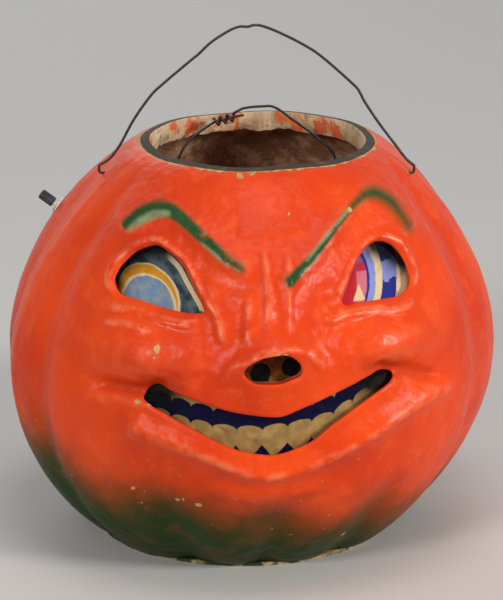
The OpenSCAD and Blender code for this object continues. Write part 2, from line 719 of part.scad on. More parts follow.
module socket_shell() {
    color("goldenrod") at_unit() translate([0, lamp_y, shell_low]) difference() {
        cylinder(h = bulb_cap_h, d = shell_d + 2 * shell_t, $fn = round_fn);
        translate([0, 0, shell_t]) cylinder(h = bulb_cap_h, d = shell_d, $fn = round_fn);
    }
}
module bulb_cap() {
    color("gold") at_unit() translate([0, lamp_y, bulb_z])
        cylinder(h = bulb_cap_h, d = bulb_cap_d, $fn = round_fn);
}
module bulb_filament() {
    post = [0.5, 0.5, globe_neck_h + globe_d / 2];
    half = globe_neck_d / 4;
    color("gray") at_unit() translate([0, lamp_y, bulb_z + bulb_cap_h]) {
        for (side = [-1, 1])
            translate([side * half - post[0] / 2, -post[1] / 2, 0]) cube(post);
        translate([-half, 0, post[2] - post[0] / 2]) rotate([0, 90, 0])
            cylinder(h = 2 * half, d = post[0], $fn = round_fn / 2);
    }
}
module bulb_globe() {
    r = globe_d / 2;
    neck = globe_neck_d / 2;
    middle = globe_neck_h + sqrt(r * r - neck * neck);
    color("lightcyan", 0.5) at_unit() translate([0, lamp_y, bulb_z + bulb_cap_h]) difference() {
        union() {
            cylinder(h = globe_neck_h, r = neck, $fn = round_fn);
            translate([0, 0, middle]) sphere(r = r, $fn = round_fn);
        }
        translate([0, 0, -cut])
            cylinder(h = globe_neck_h + 2 * cut, r = neck - globe_wall, $fn = round_fn);
        translate([0, 0, middle]) sphere(r = r - globe_wall, $fn = round_fn);
    }
}
module battery_holder() {
    color("dimgray") at_unit() difference() {
        translate([-holder_l / 2, holder_y, floor_z]) cube([holder_l, holder_w, holder_h]);
        translate([holder_wall - holder_l / 2, holder_y + holder_wall, floor_z + holder_wall])
            cube([holder_l - 2 * holder_wall, holder_w - 2 * holder_wall, holder_h]);
        rivet_holes();
    }
}
module battery_cells() {
    color("darkslateblue") at_unit() for (i = [0, 1])
        translate([0, cell_y[i], cell_z]) rotate([0, 90, 180 * i]) {
            translate([0, 0, -(cell_l + nub_l) / 2]) cylinder(h = cell_l, d = cell_d, $fn = round_fn);
            translate([0, 0, (cell_l - nub_l) / 2]) cylinder(h = nub_l, d = nub_d, $fn = round_fn);
        }
}
module battery_contacts() {
    plate_share = 0.7;
    plate = [contact_t, plate_share * cell_d, plate_share * cell_d];
    high = cell_z - plate[2] / 2;
    left = holder_wall - holder_l / 2;
    bridge_w = cell_y[1] - cell_y[0] + plate[1];
    color("silver") at_unit() {
        for (y = cell_y) translate([left, y - plate[1] / 2, high]) cube(plate);
        translate([-left - contact_t, cell_y[0] - plate[1] / 2, high])
            cube([contact_t, bridge_w, plate[2]]);
    }
}
module tray_rivets() {
    color("silver") at_unit() for (p = rivet_spots) translate([p[0], p[1], tray_z]) {
        cylinder(h = tin_t + p[2], d = rivet_d, $fn = round_fn);
        translate([0, 0, tin_t + p[2]]) cylinder(h = rivet_head_h, d = rivet_head_d, $fn = round_fn);
    }
}

// Ends of the twist in shares of the loop's half width and rise, and its distance from the
// wire that it goes round
twist_from = [-0.26, 0.974];
twist_to = [-0.5, 0.96];
twist_gap = 0.5;
// Bends of the loop's left part, from the short tail through the twist and down to the tray,
// and of its right part, from the tray up to the twist, in the same shares
loop_left = concat([[-0.16, 0.978]],
    [for (k = [0:bend_steps]) twist_from + (twist_to - twist_from) * k / bend_steps],
    [[-0.7, 0.93], [-0.84, 0.9], [-0.92, 0.86], [-0.97, 0.78], [-0.99, 0.6], [-1, 0.3], [-1, 0.1],
    [-1, 0.03]]);
loop_right = [[1, 0.03], [1, 0.1], [1, 0.3], [0.98, 0.6], [0.95, 0.78], [0.9, 0.87], [0.72, 0.915],
    [0.5, 0.952], [0.38, 0.97], [0.26, 0.99], [0.16, 1], [0.07, 1], [-0.08, 0.998], [-0.18, 0.994]];

function in_loop(p) = [p[0] * loop_half, 0, p[1] * loop_rise];
left_wire = [for (p = open_curve(loop_left, bend_steps)) in_loop(p)];
right_wire = [for (p = open_curve(loop_right, bend_steps)) in_loop(p)];
twist =
    let (a = in_loop(twist_from), b = in_loop(twist_to), up = cross([0, 1, 0], unit(b - a)),
        r = wire_d + twist_gap, steps = coil_steps * twist_turns)
    [for (i = [0:steps]) let (w = 360 * i / coil_steps)
        a + (b - a) * i / steps + r * (cos(w) * up + sin(w) * [0, 1, 0])];
echo("Least gap between the twist's turns, mm:", own_gap(twist, coil_steps / 2, wire_d));
echo("Least gap between the loop's two wires, mm:",
    least_gap(concat(right_wire, twist), left_wire, wire_d));

// Backward lean of the loop, the most that still lets it pass the neck on its way up
loop_lean =
    let (r = neck_r - wire_r - lift_play)
    min([for (p = concat(left_wire, right_wire))
        if (p[2] > loop_rise / 2) asin(min(sqrt(r * r - p[0] * p[0]) / p[2], 1))]);
echo("Lean of the loop, degrees:", loop_lean);

module lift_loop() {
    left = concat(left_wire, reversed(pivot_end(-loop_half, -1)));
    right = concat(pivot_end(loop_half, 1), right_wire, twist);
    color("dimgray") translate([unit_x, 0, pivot_z]) rotate([-loop_lean, 0, 0]) {
        tube(left, [0, 1, 0], wire_r);
        tube(right, [0, 1, 0], wire_r);
        translate([bend_r - loop_half, 0, 0]) rotate([0, 90, 0])
            cylinder(h = 2 * (loop_half - bend_r), r = pivot_r, $fn = round_fn);
    }
}

pumpkin_shell();
base_disc();
left_eye_insert();
right_eye_insert();
nose_insert();
mouth_insert();
bail_wire();
switch_body();
switch_bushing();
switch_washer();
switch_nut();
switch_terminals();
button_spring();
button_plunger();
push_button();
lamp_tray();
lamp_socket();
socket_shell();
bulb_cap();
bulb_filament();
bulb_globe();
battery_holder();
battery_cells();
battery_contacts();
tray_rivets();
lift_loop();
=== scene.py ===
import math

import bpy
import numpy as np
from mathutils import Matrix, Vector, noise
from mathutils.geometry import delaunay_2d_cdt


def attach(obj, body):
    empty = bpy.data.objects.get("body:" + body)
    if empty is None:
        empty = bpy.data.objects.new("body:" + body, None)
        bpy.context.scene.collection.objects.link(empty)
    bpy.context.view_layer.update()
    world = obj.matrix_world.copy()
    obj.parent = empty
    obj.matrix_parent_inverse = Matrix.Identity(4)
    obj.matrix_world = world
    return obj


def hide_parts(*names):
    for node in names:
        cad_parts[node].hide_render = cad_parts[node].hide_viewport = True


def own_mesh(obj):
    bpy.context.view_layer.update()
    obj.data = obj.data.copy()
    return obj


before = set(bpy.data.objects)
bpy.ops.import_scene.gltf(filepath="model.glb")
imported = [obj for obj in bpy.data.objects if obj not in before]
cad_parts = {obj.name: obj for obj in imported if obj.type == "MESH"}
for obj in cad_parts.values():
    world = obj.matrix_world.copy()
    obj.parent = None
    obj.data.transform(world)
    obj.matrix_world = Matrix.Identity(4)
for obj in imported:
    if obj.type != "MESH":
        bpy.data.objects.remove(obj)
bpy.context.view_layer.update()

# Camera, floor and studio light
# The camera looks at the pail from the front and a little above, as the photograph does.
# Two soft lamps stand in front, the stronger one to the right, with weaker ones above and behind.
MM = 0.001
camera_target = Vector((0.99, 0, 101.38)) * MM
camera_distance = 1.6
camera_elevation = math.radians(17.54)
camera_lens = 215.7
lamp_aim = Vector((0, 0, 0.1))
room_light, backdrop_light = 0.26, 0.75

bpy.ops.object.select_all(action="DESELECT")
bpy.ops.object.camera_add(location=camera_target + camera_distance
                          * Vector((0, -math.cos(camera_elevation), math.sin(camera_elevation))),
                          rotation=(math.pi / 2 - camera_elevation, 0, 0))
camera = bpy.context.object
camera.data.lens = camera_lens
camera.data.sensor_width = 36
camera.data.clip_start = 0.01
bpy.context.scene.camera = camera
bpy.context.scene.view_settings.view_transform = "Standard"


def soft_lamp(name, place, size, power, colour):
    bpy.ops.object.light_add(type="AREA", location=place)
    lamp = bpy.context.object
    lamp.name = name
    lamp.data.shape = "DISK"
    lamp.data.size = size
    lamp.data.energy = power
    lamp.data.color = colour
    lamp.rotation_euler = (lamp_aim - Vector(place)).to_track_quat("-Z", "Y").to_euler()


soft_lamp("key_lamp", (1.30, -0.84, 0.72), 0.34, 17, (1.0, 0.95, 0.88))
soft_lamp("fill_lamp", (-0.78, -1.20, 0.84), 0.4, 9.5, (1.0, 0.96, 0.90))
soft_lamp("top_lamp", (0.05, -0.30, 1.45), 0.6, 4, (1.0, 0.97, 0.93))
soft_lamp("back_lamp", (-0.3, 1.4, 0.9), 1.0, 4, (1.0, 1.0, 1.0))


def add(tree, kind, *values, **settings):
    made = tree.nodes.new(kind)
    for key, value in settings.items():
        setattr(made, key, value)
    for socket, value in zip(made.inputs, values):
        if isinstance(value, bpy.types.NodeSocket):
            tree.links.new(value, socket)
        elif value is not None:
            socket.default_value = value
    return made


world = bpy.data.worlds.new("studio")
bpy.context.scene.world = world
world.use_nodes = True
world.node_tree.nodes.clear()
path = add(world.node_tree, "ShaderNodeLightPath")
seen = add(world.node_tree, "ShaderNodeMath", path.outputs["Is Camera Ray"],
           path.outputs["Is Glossy Ray"], operation="MAXIMUM")
seen = add(world.node_tree, "ShaderNodeMath", seen.outputs[0],
           path.outputs["Is Transmission Ray"], operation="MAXIMUM")
strength = add(world.node_tree, "ShaderNodeMapRange", seen.outputs[0], 0.0, 1.0,
               room_light, backdrop_light)
sky = add(world.node_tree, "ShaderNodeBackground", (1.0, 0.99, 0.97, 1), strength.outputs[0])
add(world.node_tree, "ShaderNodeOutputWorld", sky.outputs[0])

bpy.ops.object.select_all(action="DESELECT")
bpy.ops.mesh.primitive_grid_add(x_subdivisions=8, y_subdivisions=8, size=8, location=(0, 1, 0))
floor = bpy.context.object
floor.name = "floor"
bpy.ops.object.transform_apply(location=True)


def new_material(name, colour=(0.8, 0.8, 0.8), roughness=0.5, metallic=0.0):
    material = bpy.data.materials.new(name)
    material.use_nodes = True
    tree = material.node_tree
    shader = tree.nodes["Principled BSDF"]
    shader.inputs["Base Color"].default_value = (*colour, 1)
    shader.inputs["Roughness"].default_value = roughness
    shader.inputs["Metallic"].default_value = metallic
    return material, tree, shader


floor_paper = new_material("floor_paper", (0.60, 0.60, 0.60), 0.8)[0]
floor.data.materials.append(floor_paper)

# Pumpkin shell
# Moulded paper pulp about five millimetres thick, painted orange with airbrushed green brows
# and a green foot. The face is in relief, and its windows were cut through the wet pulp.
body_r, body_h, widest_z, base_r, rim_r = 108.5, 176.0, 83.0, 65.0, 52.0
wall, rim_w, neck_h, lean, disc_t = 5.0, 5.0, 9.0, 7.0, 1.6
shoulder_power, belly_power = 1.8, 2.0
groove_depth, groove_w, least_groove = 3.0, 7.0, 0.1
face_turn, face_half, face_fade = 4.8, 50, 15
foot_groove_z, foot_groove_fade, rim_groove_z, rim_groove_fade = 52, 22, 165, 8
neck_r = rim_r - rim_w
shoulder_b = ((body_h - widest_z)
              / (1 - (rim_r / body_r) ** shoulder_power) ** (1 / shoulder_power))
belly_b = widest_z / (1 - (base_r / body_r) ** belly_power) ** (1 / belly_power)
grooves = np.array([-62, -24, 4, 33, 65, 94, 123, 152, 181, 210, 240, 269])


def lean_at(z):
    return lean * (z - widest_z) / body_h


def round_r(z):
    z = np.asarray(z, float)
    up = np.clip((z - widest_z) / shoulder_b, 0, 1) ** shoulder_power
    down = np.clip((widest_z - z) / belly_b, 0, 1) ** belly_power
    return body_r * np.where(z > widest_z, (1 - up) ** (1 / shoulder_power),
                             (1 - down) ** (1 / belly_power))


def normal_at(z):
    slope = round_r(np.asarray(z) + 0.5) - round_r(np.asarray(z) - 0.5)
    size = np.hypot(1, slope)
    return 1 / size, -slope / size


def ease(t):
    t = np.clip(t, 0, 1)
    return t * t * (3 - 2 * t)


def wrapped(a):
    return (np.asarray(a) + 180) % 360 - 180


def groove(a, z, width=groove_w, top=30, lines=grooves):
    near = np.min(np.abs(wrapped(a[:, None] - lines[None, :])), axis=1)
    share = np.maximum.reduce([ease((np.abs(wrapped(a)) - face_half) / face_fade),
                               ease((foot_groove_z - z) / foot_groove_fade),
                               ease((z - rim_groove_z) / rim_groove_fade),
                               np.full(len(a), least_groove)])
    return share * ease((body_h - z) / top) * np.exp(-(near / width) ** 2)


def curve_through(points, steps, closed=False):
    p = np.asarray(points, float)
    if closed:
        p = np.vstack([p[-1:], p, p[:2]])
    else:
        p = np.vstack([2 * p[:1] - p[1:2], p, 2 * p[-1:] - p[-2:-1]])
    t = (np.arange(steps) / steps)[:, None]
    made = [b + 0.5 * t * (c - a + t * (2 * a - 5 * b + 4 * c - d
                                        + t * (3 * (b - c) + d - a)))
            for a, b, c, d in zip(p[:-3], p[1:-2], p[2:-1], p[3:])]
    return np.vstack(made if closed else made + [p[-2:-1]])


def line_dist(p, line):
    best = np.full(len(p), 1e9)
    along = np.zeros(len(p))
    for i, (a, b) in enumerate(zip(line[:-1], line[1:])):
        ab = b - a
        t = np.clip((p - a) @ ab / max(ab @ ab, 1e-9), 0, 1)
        d = np.linalg.norm(p - a - t[:, None] * ab, axis=1)
        nearer = d < best
        best[nearer] = d[nearer]
        along[nearer] = (i + t[nearer]) / (len(line) - 1)
    return best, along


def ridge(p, points, width, height):
    d = line_dist(p, curve_through(points, 4))[0]
    return height * np.exp(-(d / width) ** 2)


def fold(p, points, width, height, fade):
    d, along = line_dist(p, curve_through(points, 4))
    return height * np.exp(-(d / width) ** 2) * ease(along / fade) * ease((1 - along) / fade)


def mound(p, centre, half, height):
    return height * np.exp(-(((p - np.array(centre)) / np.array(half)) ** 2).sum(axis=1))


left_eye, right_eye, nose, smile = (-47.0, 136.5), (44.0, 136.5), (0.0, 105.65), (0.0, 67.0)
left_brow = [(-58.6, 153.3), (-52.5, 157.8), (-46, 160.8), (-39, 160.8), (-27, 152.5), (-19, 146.8),
             (-12.8, 143.4)]
right_brow = [(7, 139), (16, 145.8), (27, 156), (35, 162.5), (43, 165), (52, 160), (60, 150)]
lower_lip = [(-54, 75), (-29, 67.5), (0, 57.5), (30, 66.5), (56, 79), (75, 86)]
lid_h, lid_out, lid_w, lid_fade = 1.7, 2.6, 1.4, 5
# Folds under the eyes, wrinkles of the bridge, wings of the nose and the lip: line, width, height
# and the share of its length over which each end fades
folds = [([(-72, 122.6), (-62, 123.6), (-54, 123.8), (-40, 121.5), (-28, 122)], 1.8, 2.1, 0.2),
         ([(-71, 117.3), (-58.8, 119), (-44, 118.3)], 1.8, 1.7, 0.3),
         ([(21, 131), (24, 123), (31, 124), (42, 124.5), (55, 123), (63, 125)], 1.8, 2.1, 0.2),
         ([(-9, 137), (-10.2, 124), (-10.8, 113)], 2.4, 1.6, 0.35),
         ([(-3.5, 154), (-1.8, 135), (-1.7, 115)], 2.4, 1.6, 0.35),
         ([(7.2, 153), (6.4, 135), (6.4, 113)], 2.4, 1.6, 0.35),
         ([(-30, 140), (-25, 130), (-21.5, 121), (-18.5, 111)], 2.8, 1.9, 0.3),
         ([(10, 122), (15, 113), (18.5, 108), (24, 100.5)], 2.6, 1.8, 0.3),
         ([(-22, 96), (-17, 104.7), (-9, 110), (0, 113.3), (6, 114), (14, 111), (19, 104)],
          2.2, 1.9, 0.2),
         (lower_lip, 2.2, 0.8, 0.3)]
# Creases at the corners of the smile: line, width and depth
smile_creases = [([(-47, 95), (-53, 92), (-60, 91.5), (-70, 91)], 3.4, 3.2),
                 ([(47, 100.5), (53, 98), (62, 95.5), (76, 88)], 3.4, 3.2),
                 ([(-42, 98), (-52, 95), (-64, 94), (-74, 93)], 5.5, 1.8),
                 ([(42, 102), (54, 100), (66, 97.5), (78, 90)], 5.5, 1.8)]


def relief(a, z):
    p = np.stack([round_r(z) * np.sin(np.radians(a)), z], axis=1)
    h = mound(p, nose, (17, 14), 7) + ridge(p, [(0, 113.6), (0, 124), (0, 136.5)], 10, 7 / 3)
    h += mound(p, (-52, 108.5), (20, 12), 6.5) + mound(p, (52, 111.5), (20, 12), 6.5)
    h -= mound(p, left_eye, (20, 13), 4) + mound(p, right_eye, (18, 13), 4)
    h += ridge(p, left_brow, 5, 3) + ridge(p, right_brow, 5, 3)
    h += ridge(p, lower_lip, 5.5, 3.8) + mound(p, (0, 46), (24, 9), 3)
    for ring, low in ((windows[0], 125.5), (windows[1], 127.5)):
        d = line_dist(p, np.vstack([ring, ring[:1]]))[0]
        h += lid_h * np.exp(-((d - lid_out) / lid_w) ** 2) * ease((z - low) / lid_fade)
    for line, width, height, fade in folds:
        h += fold(p, line, width, height, fade)
    for line, width, depth in smile_creases:
        h -= ridge(p, line, width, depth)
    return np.where(np.cos(np.radians(a)) > 0, h, 0.0)


def uneven(points, size, seed):
    return np.array([noise.noise(Vector(q) / size + Vector((seed, 0, 0))) for q in points])


def on_body(a, z, r, deeper=0.0):
    u, w = r * np.sin(np.radians(a)), r * np.cos(np.radians(a)) - deeper
    c, s = math.cos(math.radians(face_turn)), math.sin(math.radians(face_turn))
    return np.stack([lean_at(z) + u * c + w * s, u * s - w * c, z + 0 * u], axis=1)


# Outlines of the windows, in shares of their half sizes
left_eye_shape = [(-1.02, -0.41), (-0.97, -0.11), (-0.86, 0.17), (-0.56, 0.64), (-0.22, 0.92),
                  (-0.03, 0.98), (0.17, 0.84), (0.48, 0.48), (0.69, -0.05), (1.01, -0.88),
                  (0.94, -1.05), (0.46, -1.07), (-0.49, -0.86), (-0.88, -0.77)]
right_eye_shape = [(-0.91, -0.84), (-0.6, -0.09), (-0.36, 0.44), (-0.14, 0.75), (0.07, 0.9),
                   (0.28, 0.93), (0.5, 0.85), (0.75, 0.63), (0.99, 0.24), (1.12, -0.21),
                   (1.11, -0.62), (0.92, -0.85), (0.63, -0.93), (-0.33, -0.88)]
nose_shape = [(-0.97, -0.26), (-0.82, 0.23), (-0.55, 0.63), (-0.26, 0.9), (0.27, 1), (0.62, 0.76),
              (0.9, 0.26), (0.97, -0.14), (0.94, -0.6), (0.58, -0.86), (0.27, -1.03),
              (-0.34, -1.03), (-0.6, -0.98), (-0.85, -0.7)]
mouth_shape = [(-1.01, 0.74), (-0.95, 0.87), (-0.84, 0.87), (-0.52, 0.71), (-0.32, 0.62),
               (-0.13, 0.57), (0.01, 0.54), (0.11, 0.55), (0.25, 0.64), (0.64, 0.89), (0.82, 1),
               (0.95, 1), (1.02, 0.9), (0.8, 0.68), (0.52, 0.39), (0.35, 0.16), (0.22, 0.06),
               (0.09, -0.01), (-0.05, -0.01), (-0.3, 0.1), (-0.63, 0.36), (-0.97, 0.64)]
outline_step = 0.9


def window(shape, middle, half):
    line = np.array(middle) + curve_through(shape, 24, closed=True) * np.array(half)
    ring = np.vstack([line, line[:1]])
    run = np.concatenate([[0], np.cumsum(np.linalg.norm(np.diff(ring, axis=0), axis=1))])
    at = np.linspace(0, run[-1], int(run[-1] / outline_step), endpoint=False)
    return np.stack([np.interp(at, run, ring[:, 0]), np.interp(at, run, ring[:, 1])], axis=1)


windows = [window(left_eye_shape, left_eye, (18, 11)),
           window(right_eye_shape, right_eye, (15, 11)),
           window(nose_shape, nose, (11.75, 6)), window(mouth_shape, smile, (52.5, 31))]


def inside(p, ring):
    x, y = p[:, 0], p[:, 1]
    hits = np.zeros(len(p), bool)
    for (x0, y0), (x1, y1) in zip(ring, np.roll(ring, -1, axis=0)):
        cross = (y0 > y) != (y1 > y)
        hits ^= cross & (x < (x1 - x0) * (y - y0) / (y1 - y0 if y1 != y0 else 1e-9) + x0)
    return hits


def grown(ring, by):
    side = np.roll(ring, -1, axis=0) - np.roll(ring, 1, axis=0)
    side = np.stack([side[:, 1], -side[:, 0]], axis=1) / np.linalg.norm(side, axis=1)[:, None]
    away = ring + by * side
    area = np.sum(ring[:, 0] * np.roll(ring[:, 1], -1) - ring[:, 1] * np.roll(ring[:, 0], -1))
    return away if area > 0 else ring - by * side


# The unrolled wall: angle across and height up, both in millimetres near the widest level
unroll_r = 100
deg_mm = math.pi / 180 * unroll_r
rim_turns = np.arange(-180, 180.1, 1.0)
hole_points, side_rows = 20, 70
fine_half, fine_low, fine_high = 80, 24, 172


def unrolled(p, radius_at):
    r = radius_at(p[:, 1])
    return np.stack([np.degrees(np.arcsin(np.clip(p[:, 0] / r, -1, 1))) * deg_mm, p[:, 1]], axis=1)


def hole_ring(spot, radius_at, size):
    turn = np.linspace(0, 2 * np.pi, hole_points, endpoint=False)
    return np.stack([spot[0] * deg_mm + size * np.cos(turn) * unroll_r / float(radius_at(spot[1])),
                     spot[1] + size * np.sin(turn)], axis=1)


def wall_sheet(low, high, radius_at, fine, coarse, rings, windows, holes):
    edges = [rim_turns * deg_mm, np.arange(low, high + 0.01, (high - low) / side_rows)]
    flat = [np.stack([edges[0], np.full(len(edges[0]), z)], axis=1) for z in (low, high)]
    flat += [np.stack([np.full(len(edges[1]) - 2, s * 180 * deg_mm), edges[1][1:-1]], axis=1)
             for s in (-1, 1)]
    for step, chosen in ((fine, True), (coarse, False)):
        rows = np.arange(low + step * 0.8, high - step * 0.5, step * 0.87)
        for i, z in enumerate(rows):
            x = np.arange(-180 * deg_mm + step * (0.6 + 0.5 * (i % 2)),
                          180 * deg_mm - step * 0.5, step)
            on_face = (np.abs(x) < fine_half * deg_mm) & (z > fine_low) & (z < fine_high)
            x = x[on_face == chosen]
            flat.append(np.stack([x, np.full(len(x), z)], axis=1))
    flat = np.vstack(flat)
    keep = np.ones(len(flat), bool)
    for ring in windows:
        outer = unrolled(grown(ring, rings[-1] + 0.6), radius_at)
        keep &= ~inside(flat, outer)
    for spot in holes:
        keep &= ~inside(flat, hole_ring(spot, radius_at, 4 * spot[2]))
    flat = [flat[keep]]
    links, loops, count = [], [], len(flat[0])
    for ring in windows:
        first = unrolled(ring, radius_at)
        links += [(count + i, count + (i + 1) % len(ring)) for i in range(len(ring))]
        loops.append(np.arange(count, count + len(ring)))
        flat.append(first)
        count += len(ring)
        for by in rings:
            flat.append(unrolled(grown(ring, by), radius_at))
            count += len(ring)
    for spot in holes:
        links += [(count + i, count + (i + 1) % hole_points) for i in range(hole_points)]
        loops.append(np.arange(count, count + hole_points))
        for size in (1, 1.3, 2, 3.2):
            flat.append(hole_ring(spot, radius_at, size * spot[2]))
            count += hole_points
    flat = np.vstack(flat)
    made = delaunay_2d_cdt([Vector(q) for q in flat], links, [], 0, 1e-6, True)
    verts = np.array([tuple(v) for v in made[0]])
    faces = np.array([tuple(f) for f in made[2]])
    where = {old: new for new, olds in enumerate(made[3]) for old in olds}
    loops = [[where[i] for i in loop] for loop in loops]
    middle = verts[faces].mean(axis=1)
    keep = np.ones(len(faces), bool)
    for ring in windows:
        keep &= ~inside(middle, unrolled(ring, radius_at))
    for spot in holes:
        keep &= ~inside(middle, hole_ring(spot, radius_at, spot[2]))
    feet, tops = [[int(np.argmin(np.abs(verts[:, 0] - x) + 9 * np.abs(verts[:, 1] - z)))
                   for x in edges[0]] for z in (low, high)]
    return verts, faces[keep], loops, tops, feet


edge_round, bail_hole, hinge_z, bail_fwd = 1.5, 0.924, 163.504, 12.0
switch_turn, switch_z, switch_hole = -106.0, 137.0, 3.2
switch_a = np.array([switch_turn - face_turn])
switch_level = np.array([switch_z])
switch_r = float((round_r(switch_z) - groove_depth * groove(switch_a, switch_level))[0])
switch_out, switch_up = (float(n) for n in normal_at(switch_z))
switch_place = (Matrix.Translation(Vector(on_body(switch_a, switch_level, switch_r)[0]) * MM)
                @ Matrix.Rotation(math.radians(switch_turn - 90), 4, "Z")
                @ Matrix.Rotation(math.atan2(switch_out, switch_up), 4, "Y"))


def wall_holes(radius_at, deep):
    turn = math.degrees(math.acos(bail_fwd / float(radius_at(hinge_z))))
    return [(-turn - face_turn, hinge_z, bail_hole), (turn - face_turn, hinge_z, bail_hole),
            (float(switch_a[0]), switch_z - deep * switch_up, switch_hole)]


outer_flat, outer_faces, outer_loops, outer_tops, outer_feet = wall_sheet(
    disc_t, body_h, round_r, 1.15, 3.6, (0.12, 0.4, 0.8, 1.5, 2.4), windows,
    wall_holes(round_r, 0))
a_out, z_out = outer_flat[:, 0] / deg_mm, outer_flat[:, 1]
furrow = groove(a_out, z_out)
seam, seam_depth, rib_h = groove(a_out, z_out, 4.5, 16), 1.0, 0.8
middles = (grooves + np.append(grooves[1:], grooves[0] + 360)) / 2
rib_line = (groove(a_out, z_out, 1.9, 24, middles) * ease((np.abs(wrapped(a_out)) - 55) / 10)
            * ease((z_out - 40) / 30))
shaped = relief(a_out, z_out)
r_out = round_r(z_out) - groove_depth * furrow - seam_depth * seam + rib_h * rib_line + shaped
p_out = np.stack([round_r(z_out) * np.sin(np.radians(a_out)), z_out], axis=1)
window_dist = np.full(len(p_out), 99.0)
front = np.cos(np.radians(a_out)) > 0
for ring in windows:
    window_dist[front] = np.minimum(window_dist[front],
                                    line_dist(p_out[front], np.vstack([ring, ring[:1]]))[0])
near_edge = np.clip(1 - window_dist / edge_round, 0, 1)
drop = edge_round * (1 - np.sqrt(np.clip(1 - near_edge * near_edge, 0, 1)))
seat = on_body(a_out, z_out, r_out)
swell, dent = 0.45 * uneven(seat, 34.0, 1), 0.16 * uneven(seat, 9.0, 2)
r_out = r_out + swell + dent
xyz_out = on_body(a_out, z_out, r_out, drop)


def rim_wave(a):
    return 0.35 * np.sin(np.radians(3 * a + 40)) + 0.25 * np.sin(np.radians(7 * a))


xyz_out[:, 2] += rim_wave(a_out) * ease((z_out - 168) / 8) - 1.1 * ease((z_out - 172) / 4)
# Flat seat under the washer of the switch
seat_depth, seat_r, seat_fade, seat_reach = 0.82, 6.2, 2.4, 30
from_seat = xyz_out - np.array(switch_place.translation) / MM
switch_axis = np.array(switch_place.col[2][:3])
rise = from_seat @ switch_axis
beside = np.sqrt(np.maximum((from_seat ** 2).sum(axis=1) - rise ** 2, 0))
pressed = np.where(rise > -seat_reach, ease((seat_r + seat_fade - beside) / seat_fade), 0)
xyz_out += (-(seat_depth + rise) * pressed)[:, None] * switch_axis

levels = np.linspace(disc_t + wall + 0.5, body_h - 1, 400)
n_out, n_up = normal_at(levels)
inner_levels, inner_radii = levels - wall * n_up, round_r(levels) - wall * n_out


def inner_r(z):
    return np.interp(z, inner_levels, inner_radii)


inner_low, neck_z, cut_flare = disc_t + 6, body_h - neck_h, 1.9
inner_flat, inner_faces, inner_loops, inner_tops, inner_feet = wall_sheet(
    inner_low, neck_z, inner_r, 3.4, 5.0, (1.5, 3.0),
    [grown(ring, cut_flare) for ring in windows], wall_holes(inner_r, wall))
a_in, z_in = inner_flat[:, 0] / deg_mm, inner_flat[:, 1]
below_neck = ease((166 - z_in) / 6)
r_in = inner_r(z_in) - 0.5 * groove_depth * groove(a_in, z_in) * below_neck
seat = on_body(a_in, z_in, r_in)
r_in = r_in + (0.5 * uneven(seat, 14.0, 3) - 0.25) * below_neck
xyz_in = on_body(a_in, z_in, r_in)


torn_h = 1.5


def torn(a):
    turn = np.radians(a)
    return torn_h * np.array([
        noise.noise(Vector((math.cos(t) * 4, math.sin(t) * 4, 3)))
        + 0.4 * noise.noise(Vector((math.cos(t) * 16, math.sin(t) * 16, 7))) for t in turn])


xyz_in[:, 2] += torn(a_in) * np.exp(-((z_in - neck_z) / 2.5) ** 2)
wave = rim_wave(rim_turns) - 0.3
ragged = torn(rim_turns)
neck_rows = [on_body(rim_turns, 0 * rim_turns + z, 0 * rim_turns + neck_r + out)
             + np.stack([0 * ragged, 0 * ragged, (1 - share) * ragged + share * wave], axis=1)
             for z, out, share in ((neck_z, 1.2, 0), (neck_z + 0.3, 0.3, 0), (neck_z + 1.2, 0, 0.2),
                                   (neck_z + 4, 0, 0.6), (body_h - 0.6, 0, 1), (body_h, 0.5, 1))]

verts = [xyz_out, xyz_in, *neck_rows]
base_in = len(xyz_out)
faces = [tuple(f) for f in outer_faces]
kinds = [0] * len(faces)
faces += [tuple(base_in + f[::-1]) for f in inner_faces]
kinds += [2] * len(inner_faces)
count = base_in + len(xyz_in)
rows = [base_in + np.array(inner_tops)]
for row in neck_rows:
    rows.append(np.arange(count, count + len(row)))
    count += len(row)
out_r = np.hypot(xyz_out[outer_feet, 0] - lean_at(disc_t), xyz_out[outer_feet, 1])
in_r = np.hypot(xyz_in[inner_feet, 0] - lean_at(inner_low), xyz_in[inner_feet, 1])
foot_r = np.minimum(np.minimum(in_r, out_r - 1.2), base_r - 3)
verts.append(on_body(rim_turns, 0 * rim_turns + disc_t, foot_r))
foot_row = np.arange(count, count + len(rim_turns))
count += len(rim_turns)
for lower, upper in zip(rows[:-1], rows[1:]):
    for i in range(len(rim_turns) - 1):
        faces.append((lower[i], upper[i], upper[i + 1], lower[i + 1]))
        kinds.append(2)
for ring_out, ring_in, kind in ((outer_tops, rows[-1], 1), (outer_feet, foot_row, 2),
                                (foot_row, base_in + np.array(inner_feet), 2)):
    for i in range(len(ring_out) - 1):
        faces.append((ring_out[i], ring_out[i + 1], ring_in[i + 1], ring_in[i]))
        kinds.append(kind)
for loop_out, loop_in in zip(outer_loops, inner_loops):
    rows = [np.array(loop_out)]
    for share in (0.3, 0.65):
        mid = xyz_out[loop_out] * (1 - share) + xyz_in[loop_in] * share
        rows.append(np.arange(count, count + len(mid)))
        verts.append(mid)
        count += len(mid)
    rows.append(base_in + np.array(loop_in))
    for k, (upper, lower) in enumerate(zip(rows[:-1], rows[1:])):
        for i in range(len(upper)):
            j = (i + 1) % len(upper)
            faces.append((upper[i], lower[i], lower[j], upper[j]))
            kinds.append(0 if k < 2 else 2)

shell_mesh = bpy.data.meshes.new("shell")
shell_mesh.from_pydata(np.vstack(verts) * MM, [], [tuple(int(i) for i in f) for f in faces])
shell_mesh.polygons.foreach_set("material_index", kinds)


